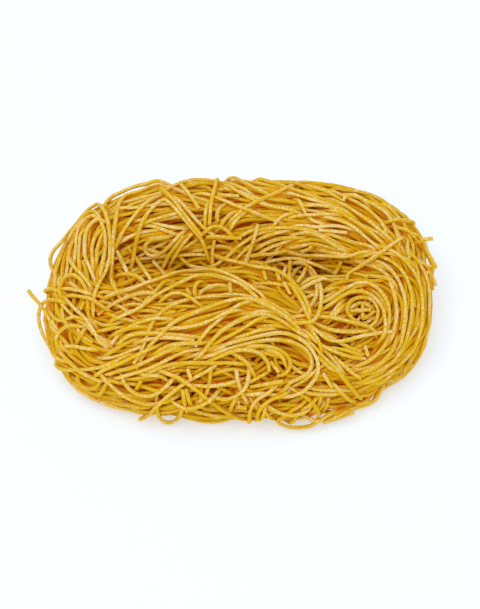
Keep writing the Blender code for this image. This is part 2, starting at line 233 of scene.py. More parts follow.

# %% [markdown]
# The rim at the back is a loose sheaf of nearly level noodles, and the wall under it shows the same sheaf
# from the front. A few straight sticks lie across both, where the bundle was cut, and long arcs hang over
# the two hollows.

# %% Noodles drawn one by one: the back
SHOWN |= {
    "back rim": (0.7, [
        ("none", [(112, 200), (124, 192), (135, 187), (147, 184.5), (160, 183)]),
        ("none", [(116, 207), (130, 202), (146, 197), (160, 193), (175, 188), (190, 185)]),
        ("none", [(118, 213), (134, 209), (150, 205), (168, 203), (186, 206)]),
        ("none", [(150, 189), (165, 187), (180, 190), (195, 197), (210, 202)]),
        ("none", [(186, 184), (200, 183), (216, 184), (232, 187), (246, 192)]),
        ("none", [(220, 188), (230, 189), (240, 191.5), (250, 196), (262, 201)]),
        ("both", [(218, 195), (228, 196.5), (239, 198.7)]),
        ("none", [(200, 196), (214, 199), (226, 203.5), (237, 208.5), (251, 212.5), (265, 216),
                  (276, 218)]),
        ("none", [(226, 188), (236, 192), (246, 196), (256, 200), (266, 204), (277, 207.5), (288, 211),
                  (300, 215)]),
        ("none", [(232, 180.5), (244, 184.5), (256, 190.5), (267, 196)]),
        ("start", [(300, 184.5), (292, 187.5), (284, 191.5), (274, 196.5), (264, 201), (254, 206),
                   (244, 211.5), (236, 218)]),
        ("none", [(256, 182), (270, 184), (284, 188), (298, 193), (312, 199)]),
        ("none", [(286, 193), (300, 196), (316, 201), (332, 208), (346, 216)]),
        ("none", [(300, 188), (316, 191), (330, 196), (344, 203)]),
    ]),
    "back wall": (0.9, [
        ("none", [(138, 221), (149, 223), (160, 226), (170, 228), (181, 229.5)]),
        ("none", [(145, 226.5), (155, 228.5), (165, 231), (175, 233), (184, 233.5)]),
        ("none", [(145, 222.5), (155, 218.5), (165, 215.5), (174, 213)]),
        ("none", [(150, 223), (160, 220), (170, 218), (181, 217)]),
        ("none", [(124, 240), (134, 235), (146, 232), (158, 231)]),
        ("none", [(126, 247), (138, 241), (150, 237), (162, 236)]),
        ("none", [(126, 262), (138, 259), (150, 257.5), (164, 256), (178, 251), (190, 244)]),
        ("none", [(168, 256), (184, 255), (200, 255), (212, 257.5), (224, 262), (236, 265)]),
        ("none", [(182, 257), (188, 263), (198, 267), (208, 267), (216, 263.5), (226, 256), (236, 247.5),
                  (246, 240), (256, 233.5), (266, 230), (278, 228)]),
        ("none", [(230, 262), (238, 254), (248, 246), (258, 239), (270, 234), (282, 231)]),
        ("none", [(240, 234), (250, 229.5), (262, 228), (276, 226.8), (292, 226.3), (306, 228.5),
                  (318, 233), (330, 240), (341, 247)]),
        ("none", [(276, 252), (281, 247), (287, 240.5), (294, 235), (302, 232), (311, 231), (321, 234.5),
                  (331, 241.5), (342, 248.5)]),
        ("none", [(256, 246), (268, 240), (282, 236), (296, 235)]),
        ("none", [(262, 252), (274, 246), (288, 241)]),
        ("none", [(300, 240), (312, 238), (324, 240), (338, 246), (352, 252)]),
        ("none", [(296, 246), (310, 243), (324, 245), (340, 250)]),
        ("none", [(272, 226), (278, 219.5), (285, 215.5), (294, 213)]),
        ("none", [(298, 204), (302, 211), (306.5, 217.5), (313, 222), (322, 224.5)]),
        ("none", [(218, 227), (224, 219.5), (231, 213.5), (239, 211)]),
        ("none", [(230.5, 229), (234, 222), (239, 215.5), (245, 211)]),
        ("none", [(216.5, 222), (217, 214.5), (220, 210)]),
        ("none", [(262, 262), (274, 259), (286, 257.8), (298, 258.5), (310, 262), (322, 266)]),
        ("none", [(288, 253), (302, 256), (318, 256), (334, 256), (350, 256.5), (366, 254)]),
        ("none", [(300, 224), (316, 226), (332, 224), (348, 226)]),
        ("none", [(296, 218), (312, 217), (328, 215.5), (344, 217)]),
        ("none", [(306, 205), (320, 206), (334, 210), (348, 216)]),
    ]),
    "sticks across the back": (2.3, [
        ("none", [(131, 260), (133, 250), (136, 240), (139, 229.5), (144, 218.5), (150.5, 209.5),
                  (158, 202.5), (164, 199), (168.5, 201.5), (175, 208), (182, 216), (190, 225), (197, 233),
                  (203, 240), (205, 246)]),
        ("both", [(160, 187), (166, 192.5), (173, 199.5), (180, 208), (188, 218), (196, 227.5),
                  (204, 236)]),
        ("start", [(172, 196.5), (180, 203), (189, 213), (199, 223.5), (207, 231), (214, 236)]),
        ("both", [(181, 184), (186, 190), (192, 198), (199, 209)]),
        ("start", [(208, 203), (206, 212), (205.5, 223)]),
        ("both", [(217.5, 178), (215, 188), (212, 200), (210.5, 212), (209.5, 225)]),
        ("both", [(206, 237.5), (213, 235.7), (222, 236), (232, 237), (241, 238.5)]),
        ("none", [(206, 232), (212, 227), (219, 227), (226, 230), (232, 236)]),
        ("start", [(214.5, 240), (212.5, 249), (211, 260)]),
        ("start", [(183, 234.5), (178, 240.5), (172, 248), (167, 254.5), (163, 263)]),
        ("start", [(194, 232), (187, 239), (180, 247), (175, 254)]),
        ("none", [(168, 238), (158, 239), (150, 241), (145.5, 246), (146, 252), (150, 255), (157, 255.3),
                  (165, 251.5), (172, 245.5), (179, 239)]),
        ("both", [(129, 248.5), (136, 259.5), (144, 271), (151.5, 280.5)]),
        ("both", [(153, 261), (159, 268), (165.5, 275.5)]),
        ("start", [(115, 250), (119.5, 260), (125, 272)]),
        ("both", [(400.5, 240.5), (386, 251), (371, 262), (357, 272), (348.5, 278.5), (346.5, 283)]),
        ("both", [(258, 224.5), (254, 238), (250, 250), (245.5, 262)]),
        ("both", [(291.5, 263), (288.5, 270), (287.3, 278)]),
        ("both", [(309, 269), (303, 275.5), (297, 281.5)]),
        ("both", [(340.5, 261), (337.5, 269), (333, 274)]),
        ("both", [(318, 228.5), (330, 230), (347, 232.5)]),
        ("start", [(343, 201), (345.5, 197), (349.5, 195.3), (355, 196), (362, 198.5)]),
        ("end", [(392, 221.5), (400, 221.5), (408, 222.3), (415, 223.7)]),
        ("both", [(301, 253), (306, 250.5), (312, 246.5)]),
        ("end", [(250, 254), (262, 253), (274, 253), (287, 251)]),
    ]),
    "arcs over the hollows": (2.1, [
        ("start", [(96.5, 315.5), (104, 311.5), (112, 308), (123, 302), (134, 297), (145, 294.5),
                   (156, 296)]),
        ("none", [(106, 297), (114, 294), (124, 291), (133, 288), (143, 284), (153, 280.5), (163, 277),
                  (173, 273.3), (183, 271), (194, 270.3), (206, 270.3), (218, 272), (229, 275.5),
                  (238, 279.5), (246, 284.5), (254, 290.5), (262, 296)]),
        ("none", [(113, 321), (119, 319), (126, 315.5), (134, 312), (142, 307), (150, 300.5), (158, 294.5),
                  (167, 289), (177, 284), (188, 279), (199, 276.3), (211, 276), (223, 278), (234, 281.5),
                  (244, 286), (252, 292), (260, 299)]),
        ("none", [(145, 303), (152, 295.5), (160, 287.5), (168, 281)]),
        ("none", [(214, 258), (226, 262), (237, 264), (248, 266.5), (258, 269), (267, 270.5), (276, 273),
                  (284, 278), (290, 284), (296, 291), (301, 299), (304.5, 308), (306, 316)]),
        ("none", [(286, 272), (289.5, 265.5), (296, 261.5), (304, 262.5), (311, 268), (316.5, 277),
                  (319.5, 286.5), (320, 296), (318.5, 306), (314.5, 315), (308.5, 320.5), (302, 321)]),
        ("none", [(309, 269), (315, 277), (317, 287), (315.5, 297), (311, 305), (306, 308)]),
        ("start", [(196, 297), (195, 290.5), (196, 285.5), (199.5, 281.5)]),
        ("none", [(200, 293), (205, 288.3), (212, 285.8), (222, 284.5)]),
        ("both", [(230.5, 282), (231, 294)]),
        ("both", [(284, 283), (287.5, 288), (291.5, 294)]),
        ("none", [(290, 284), (297, 293), (302, 303), (305, 313), (307, 321)]),
        ("none", [(306, 280.5), (318, 278), (330, 277.2), (343, 276), (356, 276), (366, 280)]),
        ("end", [(352, 275.5), (359, 277.5), (368, 282)]),
        ("none", [(300, 291.5), (308, 286.5), (317, 282.5), (327, 280)]),
        ("none", [(304, 298), (309.5, 295.8), (315, 293)]),
        ("both", [(262, 264), (264, 272), (266, 279)]),
        ("both", [(274, 266), (277, 274), (279, 282)]),
        ("none", [(112, 281.5), (118, 277.5), (126, 275), (134, 275.7), (142, 280)]),
        ("none", [(164, 297), (172, 293.5), (180, 293.5), (189, 298)]),
        ("both", [(187, 288), (190, 297)]),
    ]),
}
print("drawn with the back:", count_shown())

# %% [markdown]
# The mound is a bundle that was folded over the front half: its noodles rise from the lower left, run to
# the right and turn down into the knot. The front below it is the foot of the fold, with hooks and loose
# ends that touch the table.

# %% Noodles drawn one by one: the mound and the front
SHOWN |= {
    "behind the mound": (0.9, [
        ("none", [(100, 296.5), (108, 295.3), (117, 295), (126, 296.5), (136, 300)]),
        ("none", [(92, 322), (101, 324), (111, 324), (120, 321.5)]),
        ("none", [(124, 306), (138, 305), (152, 306.5), (166, 307.5)]),
        ("none", [(128, 313), (142, 310), (156, 310)]),
        ("none", [(100, 302), (112, 304), (124, 308), (134, 314)]),
        ("none", [(96, 306), (106, 312), (118, 317), (130, 319)]),
    ]),
    "mound": (1.2, [
        ("start", [(136, 366), (139, 358), (143, 349), (146.5, 340), (149.5, 331), (154.5, 322),
                   (161, 314.5), (168.5, 308), (177, 303), (186, 299.7), (197, 297.3), (209, 296),
                   (223, 295.3), (237, 295.3), (251, 296.5), (263, 299.5), (275, 304), (285, 310),
                   (294, 317)]),
        ("start", [(134.5, 369), (140, 360), (146, 352.5), (152, 346), (158, 340), (164, 333.5), (171, 327),
                   (179, 321), (189, 316), (201, 311), (215, 306), (228, 302), (241, 300.7), (252, 301.7),
                   (263, 304.5), (273, 308.5), (283, 313.5), (292, 319.5), (300, 326)]),
        ("start", [(194, 346.5), (200, 338), (206, 330.5), (212.5, 324), (220.5, 317.5), (229, 311.5),
                   (238, 306.5), (248, 304)]),
        ("start", [(194.5, 362), (202, 354), (208, 346), (214, 339), (221.5, 332), (230, 326), (239, 320.5),
                   (249, 316.5), (259, 314), (268, 314.5), (278, 318), (288, 323.5), (298, 330.5),
                   (307, 337)]),
        ("none", [(212, 344), (226, 336.5), (240, 329.5), (251, 323), (261, 318)]),
        ("none", [(212, 350), (226, 343), (240, 339), (254, 336), (268, 333.2), (282, 331.5), (294, 333.3),
                  (304, 337.5), (312, 344), (317.5, 353), (319.3, 363), (317, 373), (310.5, 382),
                  (302, 388.5), (291, 391.8), (277, 391.3), (263, 390.5), (251, 392)]),
        ("none", [(212, 355), (226, 350), (240, 346), (256, 342), (272, 340), (287, 341), (300, 345.5),
                  (308, 352), (311.5, 360), (310.5, 368), (305.5, 374), (297.5, 378), (289.5, 381.5),
                  (286, 386), (281, 391)]),
        ("end", [(214, 359), (226, 354), (240, 350.5), (254, 351.5), (263, 356.5), (268, 364),
                 (268.5, 371.5)]),
        ("end", [(252, 347), (262, 346), (272, 347.5), (281, 350.5), (287.5, 356), (290.3, 363.5),
                 (288, 370), (283, 374.5), (277.5, 376)]),
        ("both", [(270, 362), (275, 367.5), (280, 372.5)]),
        ("none", [(150, 374), (160, 370), (172, 366), (188, 364), (206, 363.5), (224, 364), (240, 366)]),
        ("none", [(120, 379), (130, 376.5), (142, 373.7), (154, 369.5), (166, 363), (177, 356.5),
                  (188, 352), (200, 350)]),
        ("none", [(106, 375), (118, 371), (132, 366.5), (146, 360), (160, 352.5), (174, 348)]),
        ("none", [(98, 374), (105, 369.5), (114, 366), (126, 361.5), (138, 356), (150, 349)]),
        ("start", [(113, 346), (117, 340), (122.5, 334), (129, 329), (137, 325.5), (147, 323), (158, 321)]),
        ("none", [(118, 342), (126, 336.5), (137, 333.5), (150, 333), (165, 333.5), (180, 334.5),
                  (196, 336.5)]),
        ("end", [(140, 342), (152, 339), (165, 337.5), (180, 338.5), (195, 340.5)]),
        ("none", [(112, 336), (122, 331), (132, 327), (144, 325)]),
        ("none", [(100, 330), (110, 327), (122, 324)]),
        ("none", [(110, 352), (124, 345), (138, 340)]),
        ("none", [(100, 358), (114, 357), (128, 352), (142, 345)]),
        ("none", [(60, 361), (67, 366), (77, 368), (88, 368.3), (100, 367), (112, 363.5), (126, 358)]),
        ("none", [(156, 354), (170, 346), (186, 343.5), (200, 343)]),
        ("none", [(236, 356), (244, 361), (250, 368), (253, 374)]),
        ("none", [(168, 331), (184, 329), (200, 325.5), (216, 319), (230, 313)]),
        ("none", [(186, 323), (200, 318.5), (214, 314), (228, 309.5)]),
        ("none", [(246, 334), (258, 329), (270, 326)]),
        ("none", [(256, 310), (268, 309.5), (280, 313.5), (290, 319)]),
    ]),
    "front": (1.4, [
        ("start", [(139, 421, 8), (147.5, 413), (156, 405.5), (166, 397.5), (178, 388.5), (188.5, 381.5),
                   (200, 374.5), (211, 368)]),
        ("both", [(141, 379), (138.3, 387), (135.3, 395.5)]),
        ("none", [(122, 382), (128, 389), (136, 394), (146, 395.5), (156, 392.5), (164, 386), (170, 379)]),
        ("end", [(146, 375), (154, 374.3), (161, 376), (166, 380), (170.5, 385)]),
        ("none", [(166, 372.5), (176, 375.5), (185, 380), (194, 386), (202, 392), (208, 397)]),
        ("both", [(187, 367), (189, 374), (191.5, 382)]),
        ("none", [(213, 370), (212, 380), (210.5, 389), (206.5, 396), (201, 401)]),
        ("none", [(190, 383), (200, 384.3), (212, 385), (224, 384), (233, 382.5)]),
        ("none", [(176, 401), (186, 404), (195, 403), (203, 399.5), (209, 396)]),
        ("none", [(207, 395.5), (215, 399), (225, 400), (235, 396), (243, 389.5), (246.7, 383),
                  (247.5, 377)]),
        ("none", [(203, 398), (204.5, 406, 12), (208, 412.5, 9), (214, 416.7, 8), (221, 416, 8),
                  (227, 411, 10), (231.5, 405), (236, 398)]),
        ("none", [(158, 406), (160.5, 414, 8), (165, 419.5, 5), (172, 420.5, 4), (179, 416.5, 6),
                  (183, 409)]),
        ("end", [(184, 403), (189, 411, 9), (194.5, 419, 5)]),
        ("end", [(190, 402), (196, 409, 9), (199, 416, 6)]),
        ("both", [(235.5, 369), (236.5, 377), (239.5, 385), (243, 393), (248, 402.5)]),
        ("both", [(249, 388.5), (260, 386.8), (272, 384.5), (283, 382.7)]),
        ("none", [(304, 399), (294, 404.5), (284, 411), (275.5, 418, 7), (282, 424, 5), (292, 427, 4),
                  (303, 427.3, 4), (313, 424.5, 5), (317.8, 418, 7), (317, 410, 11), (312, 403), (305, 397),
                  (296, 392)]),
        ("none", [(292, 420, 6), (298, 412), (306, 405), (314, 399)]),
        ("none", [(256, 405), (268, 411, 9), (282, 414, 7), (296, 413.5, 7), (310, 410, 8), (322, 404)]),
        ("none", [(262, 409), (276, 416, 5), (290, 417.5, 4), (304, 416.5, 4), (316, 412, 6), (328, 406)]),
        ("none", [(270, 405), (282, 409), (296, 409), (308, 405)]),
        ("none", [(249, 419, 5), (250, 410), (253.5, 402), (260, 395.5), (269, 391.5)]),
        ("none", [(256, 417, 6), (258.5, 409), (264, 401.5), (273, 396), (285, 392)]),
        ("both", [(262.5, 403), (262, 410), (258.5, 417, 6)]),
        ("both", [(238.5, 399), (236, 409, 9), (233, 419.5, 5)]),
        ("both", [(236, 407), (248, 406)]),
        ("both", [(308, 386.3), (320, 387.2), (334, 388.3), (349, 388.7)]),
        ("none", [(303, 391), (314, 393), (327, 393), (340, 390.5)]),
        ("both", [(327.5, 396), (325, 404.5), (320, 413)]),
        ("none", [(320, 394), (318, 402), (312, 410)]),
        ("none", [(248, 382), (256, 376.5), (264, 372)]),
        ("none", [(104, 376), (112, 383.5), (120, 391), (129, 397), (139, 401.5), (150, 404), (161, 402.5),
                  (170, 399)]),
        ("none", [(80.5, 377), (83, 383), (88, 387), (94, 387.3), (98.5, 384), (101, 379)]),
        ("none", [(98, 391), (103.5, 387.5), (106.5, 382)]),
        ("none", [(70, 372), (78, 382), (88, 391), (100, 397), (114, 402), (130, 405), (146, 406.5)]),
        ("none", [(64, 368), (72, 381), (84, 392.5), (98, 401), (114, 407), (132, 411), (150, 414)]),
        ("none", [(60, 350), (66, 358), (74, 364.5), (83, 371), (92, 376), (102, 379.5)]),
        ("end", [(374, 396), (361, 403.5), (347.5, 411, 9), (334, 418, 6), (323, 424.5, 4)]),
        ("end", [(366, 397), (353, 405), (340, 412.5, 8), (326, 420.5, 5)]),
        ("none", [(354, 398), (343, 405), (332, 413, 9), (322, 419, 7), (314, 421, 7)]),
        ("both", [(352, 409, 9), (339, 416.5, 6), (327, 422.5, 4)]),
        ("none", [(328, 405.5), (341, 404), (354, 400.5), (366, 396)]),
        ("none", [(322, 410), (336, 410), (350, 406), (362, 401)]),
    ]),
}
print("drawn with the mound and the front:", count_shown())

# %% [markdown]
# On the right the noodles fan out from the knot and coil round a small eye, where short sticks cross. The
# coil goes on round the right end, and its outermost noodles have come away from it.

# %% Noodles drawn one by one: the right side
SHOWN |= {
    "right fan": (1.5, [
        ("none", [(304, 318), (314, 318.5), (328, 318.5), (340, 320), (351, 323), (362, 326.5), (370, 330),
                  (375, 336)]),
        ("none", [(306, 322), (316, 325), (328, 329.5), (341, 331.7), (354, 332), (366, 331.5)]),
        ("end", [(308, 325), (317, 333), (329, 341), (341, 342), (353, 339.3), (366, 336.3), (378, 335),
                 (391.5, 334.3)]),
        ("end", [(308, 332), (318, 343), (330, 350.5), (342, 355.3), (354, 359), (366, 361.3)]),
        ("both", [(333.5, 353), (340, 361), (347, 368), (353, 373), (358.5, 376.3)]),
        ("end", [(312, 342), (322, 354), (332, 365), (343, 377), (352, 387), (361.5, 396.5)]),
        ("both", [(322, 372), (329, 379), (335.5, 385)]),
        ("none", [(336, 385), (341, 390.5), (348, 396.5), (356, 399), (365, 398.5), (373, 395.5)]),
        ("both", [(364.5, 345), (366, 351.5), (368, 358)]),
        ("none", [(306, 326), (311, 336), (318, 346), (326, 355), (335, 366), (341, 373)]),
        ("none", [(320, 358), (328, 365.5), (337, 371)]),
        ("none", [(310, 330), (316, 340), (320, 352)]),
    ]),
    "right coil": (1.1, [
        ("none", [(352, 323), (347.5, 317), (346.5, 309.5), (350.5, 303), (357.5, 299), (365.5, 298.3),
                  (372.5, 301.3), (377.3, 307.5), (379, 314.5), (377.5, 322), (374, 328)]),
        ("none", [(322, 312), (330, 306), (338, 299.5), (346.5, 294.5), (356, 292.3), (365.5, 293.3),
                  (374, 297.8), (380.5, 305), (384, 314.5), (384.3, 326), (381.5, 338)]),
        ("none", [(318, 306), (328, 301.5), (338, 295), (350, 288.3), (360.5, 285.6), (370.5, 286.5),
                  (379, 291.5), (386, 300), (389.5, 310), (390, 321), (388, 333), (384, 343)]),
        ("none", [(324, 318), (333, 311), (341, 302.5)]),
        ("none", [(330, 318), (336, 312), (343, 305)]),
        ("none", [(362, 262), (374, 268), (384, 277), (391, 288), (395, 301), (396, 315), (394, 330),
                  (389, 344)]),
        ("none", [(370, 259), (382, 266), (392, 276), (399, 289), (402, 303), (402, 318), (399, 333),
                  (394, 347)]),
        ("none", [(378, 257), (391, 265), (400, 276.5), (406, 290), (408.5, 304), (408, 319), (405, 334),
                  (399, 349), (390, 361), (379, 368.5), (367, 373)]),
        ("none", [(392, 255), (404, 265), (411.5, 277), (415.5, 290), (417, 304), (416, 319), (413, 335),
                  (407, 350), (398, 361), (387, 370), (374, 377), (362, 381)]),
        ("none", [(410, 258), (418, 268), (423, 281), (425, 295), (424.5, 310), (422.5, 326), (418, 342),
                  (411, 357), (401, 370), (388, 380), (374, 388), (361, 395)]),
        ("none", [(366, 370), (378, 364), (388, 355), (395, 344)]),
        ("none", [(360, 366), (370, 360), (379, 351), (385, 342)]),
        ("none", [(356, 380), (370, 373), (384, 366)]),
        ("both", [(350, 314.5), (357, 311.7), (364, 309), (372, 307.2)]),
        ("both", [(365.3, 300), (364.6, 309), (364, 318.5)]),
        ("both", [(376, 308), (369, 314.5), (361, 320)]),
        ("none", [(345, 277), (358, 276.3), (372, 278.7), (384, 281.7), (394, 288)]),
    ]),
    "in the eye and under the fan": (0.3, [
        ("none", [(350, 308), (356, 304), (364, 302.5), (371, 305)]),
        ("none", [(351, 316), (357, 321), (365, 322.5), (373, 319)]),
        ("none", [(355, 305), (360, 312), (367, 318)]),
        ("none", [(368, 305), (362, 312), (357, 319)]),
        ("none", [(322, 335), (334, 341), (346, 347.5), (358, 352)]),
        ("none", [(326, 347), (338, 348.5), (350, 351), (362, 355)]),
        ("both", [(352.5, 340), (354.5, 346.5), (353, 353)]),
        ("both", [(343, 343), (347.5, 349), (350, 355.5)]),
        ("none", [(270, 352), (280, 357), (284, 365)]),
        ("none", [(286, 266), (296, 271), (307, 274)]),
        ("none", [(290, 277), (298, 269.5), (307, 262)]),
        ("none", [(138, 246), (149, 249), (160, 253.5)]),
        ("none", [(142, 254), (152, 247.5), (163, 243)]),
        ("none", [(200, 250), (212, 246), (224, 246), (236, 250)]),
    ]),
    "right shoulder": (0.8, [
        ("none", [(332, 186.5), (345, 189), (358, 192.5), (370, 197), (382, 203.5), (394, 212),
                  (404, 221)]),
        ("none", [(328, 192), (342, 197), (356, 203), (368, 211), (380, 222), (388, 234)]),
        ("none", [(328, 200), (342, 207), (356, 215), (370, 225), (383, 237), (394, 250)]),
        ("none", [(330, 211), (344, 216), (358, 224), (370, 233), (382, 244), (392, 256)]),
        ("none", [(330, 219), (345, 223), (358, 230), (372, 240), (386, 251)]),
        ("none", [(330, 236), (342, 241), (355, 246), (368, 250)]),
        ("none", [(328, 252), (342, 255), (356, 257), (372, 255.5), (386, 255.5), (398, 260), (408, 268)]),
        ("none", [(352, 195), (360, 198), (370, 203), (380, 209), (388, 216), (393.5, 226), (396.5, 238),
                  (397, 247)]),
        ("none", [(384, 205), (394, 214), (402, 224), (408, 236), (412, 250)]),
        ("none", [(400, 214), (410, 224), (418, 236), (424, 250)]),
        ("none", [(402, 232), (410, 238), (420, 248), (428, 260), (431, 272)]),
        ("none", [(404, 243), (404, 252), (407, 262)]),
    ]),
    "right strays": (1.8, [
        ("start", [(434, 238, 33), (428, 238.7, 33), (421, 241, 32), (414, 244)]),
        ("start", [(437.5, 267.5, 28), (433, 260, 30), (427, 250, 31), (420, 241.5), (413, 235)]),
        ("start", [(434.5, 290, 20), (429.5, 281.5, 22), (424, 273), (419, 265)]),
        ("start", [(436.5, 285.5, 22), (432, 278, 23), (427, 270)]),
        ("both", [(431.5, 266, 27), (426, 270.5), (420, 275)]),
        ("start", [(412.5, 365, 12), (405, 369), (397, 374)]),
    ]),
}
FOLLOWED = ("left fold", "back rim", "back wall", "behind the mound", "mound", "right fan", "right coil",
            "right shoulder")
print("drawn in all:", count_shown(), "noodles, of which other noodles follow", len(FOLLOWED), "groups")

# %% [markdown]
# A noodle bends evenly, so a few drawn points are enough when a smooth curve joins them. Curve objects
# could do that, but their points would have to be read back after each change, and numpy keeps the whole
# nest in arrays.

# %% Smooth curves through points
STEP = 2.5
DENSE_STEP = 0.6


def smooth_line(points, step):
    """Catmull-Rom curve through the points: each stretch is a cubic, sampled about every step."""
    p = np.array(points, float)
    p = np.vstack([2 * p[0] - p[1], p, 2 * p[-1] - p[-2]])
    line = []
    for a, b, c, d in zip(p, p[1:], p[2:], p[3:]):
        t = np.linspace(0, 1, max(2, int(np.linalg.norm(c - b) / step)), endpoint=False)[:, None]
        cubic = (2 * a - 5 * b + 4 * c - d) * t**2 + (3 * b - a - 3 * c + d) * t**3
        line.append(0.5 * (2 * b + (c - a) * t + cubic))
    return np.vstack([*line, p[-2]])


def spaced(line, step):
    """The curve through a line's points, sampled again about every step."""
    dense = smooth_line(line, DENSE_STEP)
    run = np.concatenate([[0], np.cumsum(np.linalg.norm(np.diff(dense, axis=0), axis=1))])
    s = np.linspace(0, run[-1], max(3, round(run[-1] / step) + 1))
    return np.column_stack([np.interp(s, run, dense[:, k]) for k in range(3)])


def unit(v):
    """Vectors divided by their lengths."""
    return v / (np.linalg.norm(v, axis=-1, keepdims=True) + 1e-9)


bend = spaced([(0, 0, 0), (10, 5, 0), (20, 0, 0)], STEP)
print("a bend drawn with 3 points becomes", len(bend), "points")

# %% [markdown]
# Each drawn point is a pixel of the 480 by 609 photograph. A pinhole camera sends a straight ray through
# it, and the place on the nest is found by going down the ray a quarter of a millimetre of height at a
# time until the form is reached. Ends that aren't cut in plain view get a tail that dives into the nest.

# %% Lay the drawn noodles on the form
IMAGE_WIDTH = 480
IMAGE_HEIGHT = 609
PIXELS_PER_SLOPE = FOCAL_LENGTH / SENSOR_WIDTH * IMAGE_HEIGHT
SEARCH_FROM = 60.0
SEARCH_TO = 0.5
SEARCH_STEP = 0.25
TAIL = 11.0
TAIL_DEPTH = 4.0


def on_ray(pixels, height):
    """Where the camera's rays through the pixels are at a height: eye + t (forward + right + up shares)."""
    c, s = math.cos(CAMERA_ELEVATION), math.sin(CAMERA_ELEVATION)
    right = (pixels[..., 0] - IMAGE_WIDTH / 2) / PIXELS_PER_SLOPE
    up = (IMAGE_HEIGHT / 2 - pixels[..., 1]) / PIXELS_PER_SLOPE
    ray = np.stack([right, c + up * s, up * c - s], axis=-1)
    eye = np.array(camera.location) / MM
    return eye + ray * ((height - eye[2]) / ray[..., 2])[..., None]


def on_nest(pixels, lift):
    """The first place on each ray that is no more than lift above the form, or else the nearest to it."""
    heights = np.arange(SEARCH_FROM, SEARCH_TO, -SEARCH_STEP)
    p = on_ray(pixels[:, None], heights[None])
    _, above = way_out(p)
    hit = above <= lift
    first = np.where(hit.any(axis=1), hit.argmax(axis=1), above.argmin(axis=1))
    return p[np.arange(len(p)), first]


def lay_shown(ends, points, lift):
    """The drawn points put on the form, or at their own height, with a diving tail at each hidden end."""
    pixels = np.array([p[:2] for p in points], float)
    p = on_nest(pixels, lift)
    free = [k for k, point in enumerate(points) if len(point) == 3]
    if free:
        p[free] = on_ray(pixels[free], np.array([points[k][2] for k in free], float))
    for tip, inner, shown in ((0, 1, "start"), (-1, -2, "end")):
        if ends in (shown, "both"):
            continue
        on = unit(p[tip] - p[inner]) * TAIL
        tail = at_depth((p[tip] + on)[None], TAIL_DEPTH)
        p = np.vstack([tail, p]) if tip == 0 else np.vstack([p, tail])
    return spaced(p, STEP)


drawn = {group: [lay_shown(*noodle, lift) for noodle in noodles] for group, (lift, noodles) in SHOWN.items()}
print("drawn by hand:", sum(len(lines) for lines in drawn.values()), "noodles")

# %% [markdown]
# Noodles in a nest keep the direction of the bundle that they were part of. So each area gets a few
# guide lines, drawn on the plan, and a field of directions is spread between them. A direction has no
# front or back here, so the field holds the cosine and sine of twice the angle, which average well.

# %% Guide lines of the folds
GUIDES = {
    "mound": [
        [(-66, -30), (-50, -22), (-34, -14), (-13, -9), (5, -11), (18, -19)],
        [(-60, -36), (-44, -31), (-30, -23), (-13, -16), (5, -17), (17, -22), (25, -28)],
        [(-50, -41), (-30, -35), (-10, -26), (8, -23), (22, -28), (30, -38), (26, -46)],
        [(-30, -43), (-12, -36), (4, -33), (17, -36), (21, -43)],
    ],
    "coil": [
        [(34, -8), (44, -3), (54, -3), (63, -9), (66, -20), (60, -32), (48, -42)],
        [(40, 3), (56, 3), (70, -5), (75, -22), (66, -36), (52, -46)],
        [(38, 12), (58, 12), (74, 2)],
        [(44, -14), (47, -8), (53, -6), (59, -9), (61, -15), (58, -21), (51, -22), (45, -18)],
    ],
    "fan": [
        [(27, -20), (38, -20), (50, -22)],
        [(28, -24), (38, -30), (50, -30), (60, -27)],
        [(30, -29), (42, -36), (54, -42)],
        [(30, -34), (38, -43), (48, -50)],
    ],
    "back wall": [
        [(-56, 22), (-35, 24), (-12, 27), (12, 27), (34, 26), (56, 21)],
        [(-54, 14), (-35, 17), (-12, 20), (12, 20), (34, 20), (56, 17)],
    ],
    "behind the mound": [
        [(-60, -16), (-47, -6), (-27, 3), (-9, 3), (8, -4), (19, -13)],
        [(-52, 0), (-40, 8), (-25, 12), (-8, 10), (10, 4), (22, -8)],
    ],
    "left fold": [
        [(-80, 4), (-78, 18), (-68, 34), (-60, 32), (-56, 16), (-60, -4)],
        [(-74, 2), (-72, 16), (-66, 24), (-62, 14), (-64, -2)],
    ],
    "left tangle": [
        [(-74, -2), (-72, -16), (-62, -28), (-50, -36)],
        [(-66, -2), (-64, -14), (-56, -24), (-46, -30)],
    ],
    "front": [
        [(-58, -36), (-44, -46), (-26, -51), (-8, -52)],
        [(-4, -50), (10, -51), (26, -49), (42, -44)],
    ],
}
RING_OUTS = (0.84, 0.92, 1.0)
FIELD_CELL = 2.0
FIELD_HALF = (92, 64)
JUST_INSIDE = 1.001
GUIDE_SOFTNESS = 3.0
OVAL_POINTS = 240
OVAL_TURNS = 4

# How far noodles stray from the guides, in degrees: a base, then middle x and y, half sizes, degrees
CALM = 5.0
WILD_PLACES = [
    (-30, 10, 26, 9, 26), (30, 8, 24, 9, 22), (-64, -12, 14, 16, 24), (0, -49, 46, 8, 26),
    (53, -14, 9, 9, 28), (8, -38, 16, 7, 16), (40, -30, 14, 10, 14), (-5, 10, 14, 8, 20),
]


def oval(out):
    """Plan points round the nest at a share of the way to its outline, by scaling each direction."""
    turn = np.linspace(0, 2 * np.pi, OVAL_POINTS, endpoint=False)
    x, y = HALF_LENGTH * np.cos(turn), HALF_DEPTH_BACK * np.sin(turn)
    for _ in range(OVAL_TURNS):
        scale = out / reach(x, y)
        x, y = x * scale, y * scale
    return np.column_stack([x, y])


